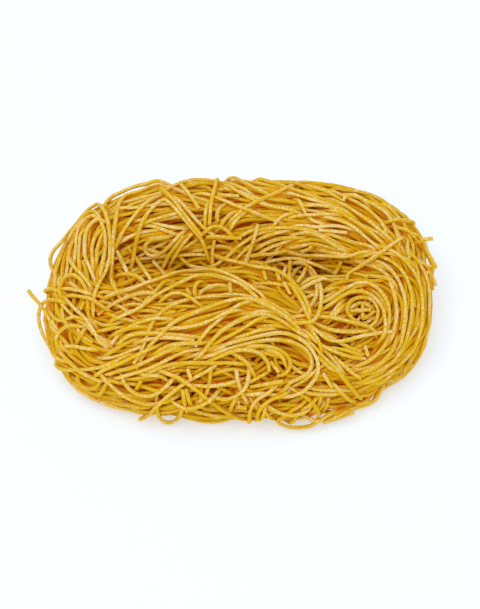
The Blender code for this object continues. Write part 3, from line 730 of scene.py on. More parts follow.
def direction_field():
    """At each cell, the mean of the guides' doubled angles, each weighted by one over distance to the 4th."""
    lines = [smooth_line(points, FIELD_CELL) for group in GUIDES.values() for points in group]
    lines += [line[:, :2] for group in FOLLOWED for line in drawn[group]]
    lines += [np.vstack([ring, ring[:1]]) for ring in map(oval, RING_OUTS)]
    middles = np.vstack([(line[1:] + line[:-1]) / 2 for line in lines])
    steps = np.vstack([np.diff(line, axis=0) for line in lines])
    lengths = np.hypot(*steps.T)
    double = 2 * np.arctan2(steps[:, 1], steps[:, 0])
    x = np.arange(-FIELD_HALF[0], FIELD_HALF[0] + 1, FIELD_CELL)
    y = np.arange(-FIELD_HALF[1], FIELD_HALF[1] + 1, FIELD_CELL)
    gap = (x[:, None, None] - middles[:, 0]) ** 2 + (y[None, :, None] - middles[:, 1]) ** 2
    weight = lengths / (gap + GUIDE_SOFTNESS**2) ** 2
    field = np.stack([weight @ np.cos(double), weight @ np.sin(double)], axis=-1)
    field /= np.linalg.norm(field, axis=-1, keepdims=True)
    wild = np.full(field.shape[:2], CALM)
    for cx, cy, rx, ry, degrees in WILD_PLACES:
        near = np.exp(-(((x[:, None] - cx) / rx) ** 2) - ((y[None, :] - cy) / ry) ** 2)
        wild = wild + near * degrees
    return np.dstack([field, np.radians(wild)])


def look_up(grid, p):
    """Bilinear value of a plan grid at points."""
    at = (p[:, :2] + np.array(FIELD_HALF)) / FIELD_CELL
    at = np.clip(at, 0, np.array(grid.shape[:2]) - JUST_INSIDE)
    cell = at.astype(int)
    u, v = (at - cell).T[..., None]
    i, j = cell.T
    low = grid[i, j] * (1 - u) + grid[i + 1, j] * u
    high = grid[i, j + 1] * (1 - u) + grid[i + 1, j + 1] * u
    return low * (1 - v) + high * v


FIELD = direction_field()
print("direction field:", FIELD.shape[:2], "cells")

# %% [markdown]
# No noodle is quite straight or evenly bent, because it dried as it fell. A few sine waves of random
# length, added up, give each noodle a slow waver of its own, which repeats nowhere along it.

# %% Slow wavers
WAVES = 4
SHORTEST_WAVE = 24
LONGEST_WAVE = 120
USUAL_WAVE = 60


def waver(rng, count):
    """For each noodle, sine waves of arc length: weights, waves per millimetre and phases."""
    lengths = rng.uniform(SHORTEST_WAVE, LONGEST_WAVE, (count, WAVES))
    weights = rng.normal(0, 1, (count, WAVES)) * np.sqrt(lengths / USUAL_WAVE) / math.sqrt(WAVES)
    return weights, 2 * np.pi / lengths, rng.uniform(0, 2 * np.pi, (count, WAVES))


def waver_at(waves, s):
    """Sum of weight times sine of (rate times s plus phase), at arc length s."""
    weights, rates, phases = waves
    return (weights * np.sin(rates * np.asarray(s)[..., None] + phases)).sum(axis=-1)


print("a noodle's waver is", WAVES, "waves of", SHORTEST_WAVE, "to", LONGEST_WAVE, "mm")

# %% [markdown]
# Noodles settle where there is room. A coarse box grid counts the noodles laid so far, so that new ones
# start where it is empty and turn a little away from where it is full.

# %% Count what is laid
CROWD_CELL = 3.0
CROWD_LOW = (-102, -72, -9)
CROWD_CELLS = (68, 48, 20)


def crowd_cell(p):
    """The grid cell of each point: its distance from the grid's low corner, in whole cells."""
    cell = ((p - np.array(CROWD_LOW)) / CROWD_CELL).astype(int)
    return np.clip(cell, 0, np.array(CROWD_CELLS) - 1)


def crowd_of(taken):
    """How many noodle points lie round each cell of a box grid, and the slope of that number."""
    crowd = np.zeros(CROWD_CELLS)
    if len(taken):
        np.add.at(crowd, tuple(crowd_cell(taken).T), 1)
    for axis in range(3):
        crowd = (crowd * 2 + np.roll(crowd, 1, axis) + np.roll(crowd, -1, axis)) / 2
    return crowd, np.stack(np.gradient(crowd), axis=-1)


print("crowd grid:", CROWD_CELLS, "cells of", CROWD_CELL, "mm")

# %% [markdown]
# A noodle is walked through the field from a seed, both ways, a small step at a time, and slid back to
# its depth under the surface after each step. All noodles of a batch walk together, as one array. The
# waver turns them a little where the folds are neat and a lot in the tangles, so that they cross.

# %% Walk noodles through the field
MOST_STEPS = 56
MOST_TURN = 0.26
TURN_SHARE = 0.5
LEVEL_WAVER = 0.8
SHY = 0.02
MOST_SHY = 0.12


def turned(v, n, angle):
    """v turned about the unit normal n: v cos + (n cross v) sin."""
    return v * np.cos(angle)[:, None] + np.cross(n, v) * np.sin(angle)[:, None]


def walk(p, heading, depth, aim, level, sign, wilder, crowd_slope):
    """Steps all noodles MOST_STEPS on: the field's direction, turned by the waver, then back to depth."""
    places = []
    for k in range(1, MOST_STEPS + 1):
        s = sign * k * STEP
        n, _ = way_out(p)
        cos2, sin2, wild = look_up(FIELD, p).T
        angle = np.arctan2(sin2, cos2) / 2
        v = np.column_stack([np.cos(angle), np.sin(angle), np.zeros(len(p))])
        v = unit(v - n * (v * n).sum(axis=1, keepdims=True))
        v = turned(v, n, wild * wilder * waver_at(aim, s))
        v *= np.sign((v * heading).sum(axis=1, keepdims=True) + 1e-9)
        ahead = unit(heading - n * (heading * n).sum(axis=1, keepdims=True))
        side = np.cross(n, ahead)
        turn = np.arctan2((v * side).sum(axis=1), (v * ahead).sum(axis=1)) * TURN_SHARE
        slope = crowd_slope[tuple(crowd_cell(p).T)]
        turn -= np.clip(SHY * (slope * side).sum(axis=1), -MOST_SHY, MOST_SHY)
        heading = turned(ahead, n, np.clip(turn, -MOST_TURN, MOST_TURN))
        p = at_depth(p + heading * STEP, depth + LEVEL_WAVER * waver_at(level, s))
        places.append(p)
    return places


def walk_both_ways(seeds, depth, wilder, crowd_slope, rng):
    """Noodles through the seeds: array of noodle, step, xyz, with the seed in the middle."""
    count = len(seeds)
    aim, level = waver(rng, count), waver(rng, count)
    start = at_depth(seeds, depth + LEVEL_WAVER * waver_at(level, 0.0))
    first = rng.normal(size=(count, 3))
    ahead = walk(start, first, depth, aim, level, 1, wilder, crowd_slope)
    back = walk(start, start - ahead[0], depth, aim, level, -1, wilder, crowd_slope)
    return np.stack([*back[::-1], start, *ahead], axis=1)


print("a walked noodle is at most", 2 * MOST_STEPS * STEP, "mm long")

# %% [markdown]
# Seeds have to be spread over the whole surface, underside too. A place on it is given like one on a
# globe, by an angle round the nest and a latitude, and latitudes are drawn so that the poles get no more
# than their share.

# %% Places on the form and seeds
SEED_CHOICES = 700
SEED_LUCK = 3
SEED_APART = 9.0
REACH_TURNS = 3


def on_form(turn, latitude):
    """Surface point at an angle round the nest and a latitude from -90 below to 90 above, by degrees."""
    turn, latitude = np.radians(turn), np.radians(latitude)
    out = np.cos(latitude)
    x, y = HALF_LENGTH * np.cos(turn) * out, HALF_DEPTH_BACK * np.sin(turn) * out
    scale = out / (reach(x, y) + 1e-9)
    for _ in range(REACH_TURNS):
        scale = scale * out / (reach(x * scale, y * scale) + 1e-9)
    x, y = x * scale, y * scale
    inside = np.clip((1 - out) * MEAN_REACH / EDGE_ROUNDING, 0, 1)
    rise = np.sqrt(1 - (1 - inside) ** 2)
    up = BELLY_HEIGHT + (crest(x, y) - BELLY_HEIGHT) * rise
    down = np.maximum(NOODLE / 2, BELLY_HEIGHT - BELLY_TO_FOOT * rise)
    return np.column_stack([x, y, np.where(latitude >= 0, up, down)])


def spread_seeds(rng, count, crowd):
    """Seeds where noodles are fewest: random surface points, each judged by what lies within a few cells."""
    turn = rng.uniform(0, 360, SEED_CHOICES)
    latitude = np.degrees(np.arcsin(rng.uniform(-1, 1, SEED_CHOICES)))
    spots = on_form(turn, latitude)
    score = crowd[tuple(crowd_cell(spots).T)] + rng.uniform(0, SEED_LUCK, SEED_CHOICES)
    chosen = []
    for i in np.argsort(score):
        if all(np.linalg.norm(spots[i] - spots[j]) > SEED_APART for j in chosen):
            chosen.append(i)
        if len(chosen) == count:
            break
    return spots[chosen]


print("the left end, the back and the top:", on_form(np.array([180, 90, 0]), np.array([0, 0, 89])).round(1))

# %% [markdown]
# The nest is laid in layers, deepest first. Each layer's noodles are walked a few at a time, always from
# where that layer is still thin. Most ends dive under their neighbours, as they do in a real nest, and
# the rest stay in view as short square cuts.

# %% Lay the layers
SEED = 11
SHARE_OF_DIVING_ENDS = 0.6
DIVE_DEPTH = 3.2
DIVE_POINTS = 6
BATCH = 16
LEAST_STEPS = 12
# Each layer: depth in millimetres, how many noodles, and how much more they stray than the outermost
LAYERS = {
    "deep_noodles": (6.2, 80, 2.4),
    "third_noodles": (4.4, 96, 2.0),
    "second_noodles": (2.6, 112, 1.6),
    "outer_noodles": (0.8, 112, 1.2),
    "filling_noodles": (1.8, 96, 1.8),
}


def cut_to_length(walked, rng):
    """Keeps a random stretch round the middle of each noodle, and dives some of the ends."""
    noodles = []
    for line in walked:
        middle = len(line) // 2
        back, ahead = rng.integers(LEAST_STEPS, MOST_STEPS, 2)
        line = line[middle - back : middle + ahead + 1].copy()
        n, _ = way_out(line)
        k = np.arange(len(line))
        for from_end in (k, k[::-1]):
            if rng.random() < SHARE_OF_DIVING_ENDS:
                line -= n * (DIVE_DEPTH * np.clip(1 - from_end / DIVE_POINTS, 0, 1) ** 2)[:, None]
        noodles.append(line)
    return noodles


def lay_layer(depth, count, wilder, rng, others=()):
    """One layer's noodles, in batches that each start where it is thin, the others' noodles counted too."""
    noodles = []
    while len(noodles) < count:
        crowd, slope = crowd_of(np.vstack([*others, *noodles]) if len(others) + len(noodles) else [])
        seeds = spread_seeds(rng, BATCH, crowd)
        walked = walk_both_ways(seeds, np.full(len(seeds), depth), wilder, slope, rng)
        noodles += cut_to_length(walked, rng)
    return noodles


layers = {}
for number, (name, (depth, count, wilder)) in enumerate(LAYERS.items()):
    others = [line for layer in layers.values() for line in layer] if name == "filling_noodles" else ()
    layers[name] = lay_layer(depth, count, wilder, np.random.default_rng(SEED + number), others)
    metres = sum(np.linalg.norm(np.diff(line, axis=0), axis=1).sum() for line in layers[name]) / 1000
    print(name, len(layers[name]), "noodles,", round(metres, 1), "m")

layers["shown_noodles"] = [line for lines in drawn.values() for line in lines]

# %% [markdown]
# Laid like this, noodles run through each other where they cross, so all places where two come close
# must be found. Comparing each stretch with every other would take hours. Sorted into cells, each needs
# comparing only with those in the cells beside it.

# %% Find where noodles come close
def near_pairs(middle, within):
    """Pairs of points within a distance: sorted by cell, then each cell against itself and the half of its
    neighbours that haven't been set against it yet."""
    cells = np.floor(middle / within).astype(np.int64)
    cells -= cells.min(axis=0) - 1
    size = cells.max(axis=0) + 2
    key = (cells[:, 0] * size[1] + cells[:, 1]) * size[2] + cells[:, 2]
    order = np.argsort(key, kind="stable")
    ranked = key[order]
    firsts, seconds = [], []
    around = [(i, j, k) for i in (-1, 0, 1) for j in (-1, 0, 1) for k in (-1, 0, 1)]
    for i, j, k in around[len(around) // 2 :]:
        other = ranked + (i * size[1] + j) * size[2] + k
        low = np.searchsorted(ranked, other, "left")
        high = np.searchsorted(ranked, other, "right")
        if (i, j, k) == (0, 0, 0):
            low = np.arange(len(ranked)) + 1
        counts = np.maximum(high - low, 0)
        a = np.repeat(np.arange(len(ranked)), counts)
        b = np.arange(counts.sum()) - np.repeat(np.cumsum(counts) - counts, counts) + low[a]
        close = ((middle[order[a]] - middle[order[b]]) ** 2).sum(axis=1) < within**2
        firsts.append(order[a[close]])
        seconds.append(order[b[close]])
    return np.concatenate(firsts), np.concatenate(seconds)


def closest(p1, q1, p2, q2):
    """Where two segments come closest: shares along each, from the two lines' equations, kept in range."""
    d1, d2, r = q1 - p1, q2 - p2, p1 - p2
    a = (d1 * d1).sum(axis=1) + 1e-9
    e = (d2 * d2).sum(axis=1) + 1e-9
    b, c, f = (d1 * d2).sum(axis=1), (d1 * r).sum(axis=1), (d2 * r).sum(axis=1)
    s = np.clip((b * f - c * e) / (a * e - b * b + 1e-6), 0, 1)
    t = np.clip((b * s + f) / e, 0, 1)
    s = np.clip((b * t - c) / a, 0, 1)
    return s, t, (p1 + d1 * s[:, None]) - (p2 + d2 * t[:, None])


print("stretches laid:", sum(len(line) - 1 for layer in layers.values() for line in layer))

# %% [markdown]
# They are pressed apart the way a heap of sticks settles: every pair of stretches closer than a noodle's
# width is pushed apart by about half of what is missing, each noodle's shifts are evened out along its
# length so that it stays a smooth curve, and a light pull keeps the heap from swelling. A rigid body
# simulation would need noodles of many small links, and take far longer.

# %% Press the noodles apart
CONTACT = 1.5
ROUNDS = 110
LIST_EVERY = 12
LIST_MARGIN = 0.9
OWN_NEIGHBOURS = 3
PUSH = 0.45
LOAD_POWER = 0.6
SLOPE_EVERY = 5
PULL_IN = 0.8 / ROUNDS
LAST_FREE = 12
EVEN_OUT = 0.35
LEAST_HEIGHT = 1.1


def press_apart(noodles, rounds):
    """Moves the noodles' points until no two stretches are closer than CONTACT, as far as it can."""
    sizes = np.array([len(line) for line in noodles])
    whose = np.repeat(np.arange(len(noodles)), sizes)
    start = np.vstack(noodles)
    p = start.copy()
    first = np.nonzero(whose[:-1] == whose[1:])[0]
    for number in range(rounds):
        if number % LIST_EVERY == 0:
            i, j = near_pairs((p[first] + p[first + 1]) / 2, STEP + CONTACT + LIST_MARGIN)
            i, j = first[i], first[j]
            apart = (whose[i] != whose[j]) | (np.abs(i - j) > OWN_NEIGHBOURS)
            i, j = i[apart], j[apart]
            _, _, gap = closest(p[i], p[i + 1], p[j], p[j + 1])
            near = (gap * gap).sum(axis=1) < (CONTACT + LIST_MARGIN) ** 2
            i, j = i[near], j[near]
        s, t, gap = closest(p[i], p[i + 1], p[j], p[j + 1])
        size = np.linalg.norm(gap, axis=1)
        deep = size < CONTACT
        a, b, s, t, gap, size = i[deep], j[deep], s[deep], t[deep], gap[deep], size[deep]
        shift = gap / (size + 1e-6)[:, None] * (PUSH * (CONTACT - size))[:, None]
        at = np.concatenate([a, a + 1, b, b + 1])
        share = np.concatenate([1 - s, s, 1 - t, t])
        move = np.vstack([shift, shift, -shift, -shift]) * share[:, None]
        load = np.bincount(at, share, len(p))
        total = np.column_stack([np.bincount(at, move[:, k], len(p)) for k in range(3)])
        p = p + total / np.maximum(load, 1)[:, None] ** LOAD_POWER
        moved = p - start
        inner = np.nonzero(whose[:-2] == whose[2:])[0] + 1
        moved[inner] += EVEN_OUT * ((moved[inner - 1] + moved[inner + 1]) / 2 - moved[inner])
        p = start + moved
        if number % SLOPE_EVERY == 0:
            n, _ = way_out(p)
        if number < rounds - LAST_FREE:
            p = p - n * PULL_IN
        p[:, 2] = np.maximum(p[:, 2], LEAST_HEIGHT)
        if number in (0, rounds // 2, rounds - 1):
            lack = CONTACT - size
            print("round", number, "pairs closer than a width:", len(lack),
                  "by", round(float(lack.mean()), 3), "mm in the mean")
    return np.split(p, np.cumsum(sizes)[:-1])


names = list(layers)
kinds = np.repeat(np.arange(len(names)), [len(layers[name]) for name in names])
every = press_apart([line for name in names for line in layers[name]], ROUNDS)
_, off = way_out(np.vstack(every))
print("mm outside the form, at 1, 25, 50, 75 and 99 %:", np.percentile(off, [1, 25, 50, 75, 99]).round(2))

# %% [markdown]
# Deep between noodles the light is dim and orange, and that shade is painted into the dough's colour. So
# each point of a noodle is given a share of painted shade from how hidden it is: all noodles are counted into
# a fine grid of cells, and the grid is read a little way off the noodle's side and above it. A shader could
# look round itself for that, but only in one render engine, and an exported model would lose it.

# %% Measure how hidden each place is, for painted shade
COVER_CELL = 1.2
COVER_STEP = 0.8
DENSE_PERCENT = 90
LOOK_AWAY = 1.3
LOOK_UP = 0.7
LOOKS_ABOVE = ((3.0, 0.5), (5.0, 0.3))
SIDE_WEIGHT = 0.6
DEPTH_WEIGHT = 0.5
DEPTH_START = 1.5
DEPTH_FULL = 6.5
# Where the share of painted shade starts and where it is full
PAINTED_SHADE_FROM = 0.15
PAINTED_SHADE_TO = 1.05


def cover_of(lines):
    """How full of noodle each cell of a box grid is, softened to its neighbours: 1 where they are dense."""
    p = np.vstack([spaced(line, COVER_STEP) for line in lines])
    size = ((np.array(CROWD_CELLS) * CROWD_CELL) / COVER_CELL).astype(int)
    cell = np.clip(((p - np.array(CROWD_LOW)) / COVER_CELL).astype(int), 0, size - 1)
    grid = np.zeros(size)
    np.add.at(grid, tuple(cell.T), 1)
    for axis in range(3):
        grid = (grid * 2 + np.roll(grid, 1, axis) + np.roll(grid, -1, axis)) / 4
    return grid / np.percentile(grid[grid > 0], DENSE_PERCENT)


def cover_at(p):
    """The grid's value at points, each taken from the two nearest cells along every axis."""
    at = (p - np.array(CROWD_LOW)) / COVER_CELL - 0.5
    at = np.clip(at, 0, np.array(COVER.shape) - JUST_INSIDE)
    cell = at.astype(int)
    share = at - cell
    total = 0
    for corner in np.ndindex(2, 2, 2):
        weight = np.where(corner, share, 1 - share).prod(axis=-1)
        total = total + weight * COVER[tuple(np.moveaxis(cell + np.array(corner), -1, 0))]
    return total


def painted_shade_share(rings, line, n, off):
    """Share of painted shade, from 0 in the open to 1 deep inside: weighted cover beside and above, and depth
    under the form.
    """
    away = unit(rings - line[:, None])
    above = sum(weight * cover_at(line + n * height) for height, weight in LOOKS_ABOVE)
    depth = DEPTH_WEIGHT * np.clip((-off - DEPTH_START) / (DEPTH_FULL - DEPTH_START), 0, 1)
    beside = SIDE_WEIGHT * cover_at(rings + away * LOOK_AWAY + n[:, None] * LOOK_UP)
    return np.clip((beside + (above + depth)[:, None] - PAINTED_SHADE_FROM) / (PAINTED_SHADE_TO - PAINTED_SHADE_FROM), 0, 1)


COVER = cover_of(every)
print("cover grid:", COVER.shape, "cells,", round(float((COVER > 0).mean()) * 100), "% of them near a noodle")

# %% [markdown]
# Fresh dough rolled thin and cut on wires gives a square section with soft corners, and drying turns and
# swells it a little along its length. Curve objects with a bevel could carry the section, but they offer
# no slow swelling and no values for each point, so the rings are worked out here. A ring's frame comes
# from the form's slope, which changes smoothly, so the noodle turns with the nest's surface.

# %% One noodle's surface
RING_STEP = 1.7
CORNER = 0.66
GRAIN = 0.035
TWIST_DEGREES = 35
SWELL = 0.05
SWELL_RATE = 3
SLOPE_ROUNDS = 3
PROFILE = np.array([(1, CORNER), (CORNER, 1), (-CORNER, 1), (-1, CORNER),
                    (-1, -CORNER), (-CORNER, -1), (CORNER, -1), (1, -CORNER)]) * NOODLE / 2


def noodle_rings(line, rng):
    """Rings of the profile along a line, middle + u side + v up, turned and swollen by slow waves and with
    a little grain, and each of their points' share of painted shade."""
    ahead = unit(np.gradient(line, axis=0))
    n, off = way_out(line)
    for _ in range(SLOPE_ROUNDS):
        n[1:-1] = (n[:-2] + n[1:-1] + n[2:]) / 3
    side = unit(np.cross(n, ahead))
    up = np.cross(ahead, side)
    s = np.arange(len(line)) * RING_STEP
    waves = waver(rng, 2)
    spin = rng.uniform(0, np.pi / 2) + math.radians(TWIST_DEGREES) * waver_at([w[0] for w in waves], s)
    swell = 1 + SWELL * waver_at([w[1] for w in waves], SWELL_RATE * s)
    cos, sin = (np.cos(spin) * swell)[:, None, None], (np.sin(spin) * swell)[:, None, None]
    u, v = PROFILE[None, :, :1], PROFILE[None, :, 1:]
    rings = line[:, None] + side[:, None] * (u * cos - v * sin) + up[:, None] * (u * sin + v * cos)
    # Each point's share of painted shade, from how hidden it is
    painted_shade = painted_shade_share(rings, line, n, off)
    return rings + rng.normal(0, GRAIN, rings.shape), painted_shade.ravel()


print("a noodle has", len(PROFILE), "sides and a ring each", RING_STEP, "mm")

# %% [markdown]
# A kind of noodle, such as the outer layer, becomes one mesh, because thousands of objects would be slow
# to handle. Quads join each ring to the next, and a flat face with eight corners closes each cut end, so
# every noodle is closed and could be printed.

# %% Put a kind of noodle into a mesh
def add_piece(name, mesh):
    """Puts a mesh in the scene as one of the pieces that stand for the solid nest."""
    piece = bpy.data.objects.new(name, mesh)
    bpy.context.scene.collection.objects.link(piece)
    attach(piece, "root")
    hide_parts("pasta_nest")


def add_noodles(name, lines, rng, material, tone_range=(0, 1)):
    """Corner numbers of all quads, base + ring * sides + corner, and two caps for each noodle."""
    points, quads, caps, tones, painted_shades, base = [], [], [], [], [], 0
    sides = len(PROFILE)
    ring = np.arange(sides)
    for line in lines:
        rings, painted_shade = noodle_rings(spaced(line, RING_STEP), rng)
        rows = base + sides * np.arange(len(rings) - 1)[:, None]
        quads.append(np.stack([rows + ring, rows + (ring + 1) % sides,
                               rows + sides + (ring + 1) % sides, rows + sides + ring], axis=-1))
        last = base + sides * (len(rings) - 1)
        caps += [base + ring[::-1], last + ring]
        points.append(rings.reshape(-1, 3))
        tones.append(np.full(len(rings) * sides, rng.uniform(*tone_range)))
        painted_shades.append(painted_shade)
        base = last + sides
    points = np.vstack(points) * MM
    quads = np.vstack([q.reshape(-1, 4) for q in quads])
    caps = np.array(caps)
    mesh = bpy.data.meshes.new(name)
    mesh.vertices.add(len(points))
    mesh.vertices.foreach_set("co", points.astype(np.float32).ravel())
    loops = np.concatenate([quads.ravel(), caps.ravel()])
    starts = np.concatenate([np.arange(len(quads)) * 4, quads.size + np.arange(len(caps)) * sides])
    mesh.loops.add(len(loops))
    mesh.loops.foreach_set("vertex_index", loops.astype(np.int32))
    mesh.polygons.add(len(starts))
    mesh.polygons.foreach_set("loop_start", starts.astype(np.int32))
    mesh.polygons.foreach_set("use_smooth", np.zeros(len(starts), bool))
    mesh.update(calc_edges=True)
    mesh.validate()
    # tone is the noodle's own gold; the second value is each point's share of painted shade
    for label, values in (("tone", tones), ("painted_shade", painted_shades)):
        attribute = mesh.attributes.new(label, "FLOAT", "POINT")
        attribute.data.foreach_set("value", np.concatenate(values).astype(np.float32))
    mesh.materials.append(material)
    add_piece(name, mesh)
    print(name, len(quads) * 2 + len(caps) * (sides - 2), "triangles")


print("a cut end has", len(PROFILE) - 2, "triangles")

# %% [markdown]
# All colours below are picked as sRGB hex codes, the way a colour picker shows them, and shaders count in
# linear light, so one function turns one into the other. A second small function adds a node, sets it and
# links it in one line, which keeps a material readable as a recipe.

# %% Two helpers for materials
def linear(code):
    """An sRGB hex code as a linear colour with alpha 1: v / 12.92, or ((v + 0.055) / 1.055) to the 2.4."""
    v = np.array([int(code[i : i + 2], 16) for i in (1, 3, 5)]) / 255
    v = np.where(v <= 0.04045, v / 12.92, ((v + 0.055) / 1.055) ** 2.4)
    return (*v, 1.0)


def add_node(tree, kind, settings=(), links=()):
    """A node with its settings, by property or input, and its inputs linked from other nodes' sockets."""
    node = tree.nodes.new(kind)
    for key, value in dict(settings).items():
        if isinstance(key, str) and hasattr(node, key):
            setattr(node, key, value)
        else:
            node.inputs[key].default_value = value
    for key, socket in dict(links).items():
        tree.links.new(socket, node.inputs[key])
    return node


print("pure mid grey, linear:", round(float(linear("#808080")[0]), 3))

# %% [markdown]
# Dried egg dough is matt, because flour and drying leave a fine grain on it. Durum wheat and yolk make it
# gold, with some noodles paler than others. Where noodles cover one another the light is dim and amber,
# since it passes through dough on its way there, and that is painted into the colour as shade. Loose flour
# sticks to the tops as pale flecks, and as a faint bloom that is partly flour and partly a painted
# highlight on faces that look up; hardly any of either shows in the painted shade of the depths.
#
# So the colour is built up in the same order: gold by each noodle's tone, painted amber shade by how hidden
# it is and how far it turns from up, and then two coats of flour wherever one number is high, the heap. The
# heap adds fleck noise, slower patches, the noodle's tone and facing upwards, and takes off the painted
# shade.

# %% Dry egg dough
# The grain of flour is about 0.1 mm, too fine to show at half a millimetre a pixel, so flecks are drawn as
# small heaps of it. A noise cell is 1 / scale wide, so scale = 1 / (size in mm * MM). Patches are the
# length of noodle that dried alike.
FLECK_SIZE = 0.67
PATCH_SIZE = 6.7
# Dark to light gold is what more yolk or less of it gives. The deep colour is painted shade: the amber of the
# dim light that has passed through more dough between noodles
DOUGH_DARK = "#E2B206"
DOUGH_LIGHT = "#EEC40C"
DOUGH_PAINTED_SHADE = "#FF821A"
# Painted shade: a little amber on faces that turn away from up
SIDE_PAINTED_SHADE = 0.06
# What the heap adds up, with the grain noise: facing up adds flour and a painted highlight, and the painted
# shade takes flour off. Then the two coats: colour, start, full, most it hides
FLOUR_AND_LIGHT_HEAP = {"patch": 0.30, "tone": 0.14, "up": 0.20, "painted_shade": -0.35}
# The bloom is partly loose flour and partly a painted highlight on faces that look up
FLOUR_BLOOM_AND_HIGHLIGHT = ("#F8CE60", 0.97, 1.18, 0.7)
FLECKS = ("#FFE8AE", 1.0, 1.09, 0.9)
# Drying leaves a fine relief, and a matt surface that shows no clear reflection
GRAIN_HEIGHT = 0.3
GRAIN_STRENGTH = 0.6
DOUGH_FINISH = {"Roughness": 0.7, "IOR": 1.5, "Specular IOR Level": 0.15}


def dough_material():
    """Gold to a painted amber shade by the points' own values, with flour, and in the bloom also a painted
    highlight, where the heap passes each coat's start. A coat is its colour, where it starts, where it is
    full, and how much it hides then."""
    material = bpy.data.materials.new("dry_egg_dough")
    material.use_nodes = True
    tree = material.node_tree
    tree.nodes.clear()
    place = add_node(tree, "ShaderNodeTexCoord")
    where = {"Vector": place.outputs["Object"]}
    flecks = {"Scale": 1 / (FLECK_SIZE * MM), "Detail": 1.0, "Roughness": 0.8}
    patches = {"Scale": 1 / (PATCH_SIZE * MM), "Detail": 2.0}
    grain = add_node(tree, "ShaderNodeTexNoise", flecks, where).outputs["Fac"]
    causes = {
        "patch": add_node(tree, "ShaderNodeTexNoise", patches, where).outputs["Fac"],
        "tone": add_node(tree, "ShaderNodeAttribute", {"attribute_name": "tone"}).outputs["Fac"],
        "up": add_node(tree, "ShaderNodeSeparateXYZ", (), {0: place.outputs["Normal"]}).outputs["Z"],
        "painted_shade": add_node(tree, "ShaderNodeAttribute", {"attribute_name": "painted_shade"}).outputs["Fac"],
    }
    golds = {"data_type": "RGBA", 6: linear(DOUGH_DARK), 7: linear(DOUGH_LIGHT)}
    gold = add_node(tree, "ShaderNodeMix", golds, {0: causes["tone"]}).outputs[2]
    # Painted shade: faces that turn away from up get a little amber, added to that of hidden places
    side_shade = {"operation": "MULTIPLY_ADD", 1: -SIDE_PAINTED_SHADE, 2: SIDE_PAINTED_SHADE}
    side_shade = add_node(tree, "ShaderNodeMath", side_shade, {0: causes["up"]}).outputs[0]
    added = {"operation": "ADD", "use_clamp": True}
    shade_share = add_node(tree, "ShaderNodeMath", added, {0: causes["painted_shade"], 1: side_shade}).outputs[0]
    # Painted shade: the gold turns amber by the hidden share and by facing away from up
    deep = {"data_type": "RGBA", 7: linear(DOUGH_PAINTED_SHADE)}
    colour = add_node(tree, "ShaderNodeMix", deep, {0: shade_share, 6: gold}).outputs[2]
    # Flour and the painted highlight grow with facing up; the painted shade takes them off
    flour_and_light = grain
    for cause, weight in FLOUR_AND_LIGHT_HEAP.items():
        adding = {"operation": "MULTIPLY_ADD", 1: weight}
        flour_and_light = add_node(tree, "ShaderNodeMath", adding, {0: causes[cause], 2: flour_and_light}).outputs[0]
    for code, start, full, most in (FLOUR_BLOOM_AND_HIGHLIGHT, FLECKS):
        coat = {"From Min": start, "From Max": full, "To Max": most}
        share = add_node(tree, "ShaderNodeMapRange", coat, {"Value": flour_and_light}).outputs[0]
        flour = {"data_type": "RGBA", 7: linear(code)}
        colour = add_node(tree, "ShaderNodeMix", flour, {0: share, 6: colour}).outputs[2]
    rough = {"Strength": GRAIN_STRENGTH, "Distance": GRAIN_HEIGHT * MM}
    bump = add_node(tree, "ShaderNodeBump", rough, {"Height": grain}).outputs[0]
    surface = {"Base Color": colour, "Normal": bump}
    shader = add_node(tree, "ShaderNodeBsdfPrincipled", DOUGH_FINISH, surface)
    add_node(tree, "ShaderNodeOutputMaterial", (), {"Surface": shader.outputs[0]})
    return material


dough = dough_material()
print("dough:", len(dough.node_tree.nodes), "nodes; flecks", FLECK_SIZE, "mm, patches", PATCH_SIZE, "mm")

# %% [markdown]
# Each kind of noodle now gets its mesh, its dough and its place on the nest. The drawn noodles lie on top,
# where most flour falls, so their tones start higher than those of the layers, which run from 0 to 1.

# %% Build the noodles
DRAWN_TONES = (0.8, 1.6)
NOISE_SEED = SEED + 50
for number, name in enumerate(names):
    lines = [every[i] for i in np.nonzero(kinds == number)[0]]
    tones = DRAWN_TONES if name == "shown_noodles" else (0, 1)
    add_noodles(name, lines, np.random.default_rng(NOISE_SEED + number), dough, tones)

# %% [markdown]
# Laid noodles fill only the outer third of the nest. A real one is full of noodles all the way, so that
# nobody can look through it, but the eye finds only a dark amber between the outer ones. One smooth closed
# body stands for that packed inside, and it costs far less than noodles that are never seen. Its dough is
# painted shade, dimmer and more orange than the noodles', mottled in patches as wide as a noodle.

# %% The packed inside, in painted shade
HEART_DEPTH = 8.2
HEART_ROWS = 45
HEART_COLUMNS = 96
HEART_TIP = 88
HEART_TURNS = 4
# Painted shade: the inside's two dim ambers stand in for the shade between the outer noodles
HEART_PAINTED_SHADE_DIM = "#B4560A"
HEART_PAINTED_SHADE_BRIGHT = "#DC7210"
HEART_ROUGHNESS = 0.8


def heart_painted_shade_material():
    """Two dim ambers of painted shade mixed by noise whose cells are as wide as a noodle."""
    material = bpy.data.materials.new("packed_dough_painted_shade")
    material.use_nodes = True
    tree = material.node_tree
    shader = tree.nodes["Principled BSDF"]
    shader.inputs["Roughness"].default_value = HEART_ROUGHNESS
    where = {"Vector": add_node(tree, "ShaderNodeTexCoord").outputs["Object"]}
    mottle = add_node(tree, "ShaderNodeTexNoise", {"Scale": 1 / (NOODLE * MM)}, where).outputs["Fac"]
    ambers = {"data_type": "RGBA", 6: linear(HEART_PAINTED_SHADE_DIM), 7: linear(HEART_PAINTED_SHADE_BRIGHT)}
    colour = add_node(tree, "ShaderNodeMix", ambers, {0: mottle}).outputs[2]
    tree.links.new(colour, shader.inputs["Base Color"])
    return material


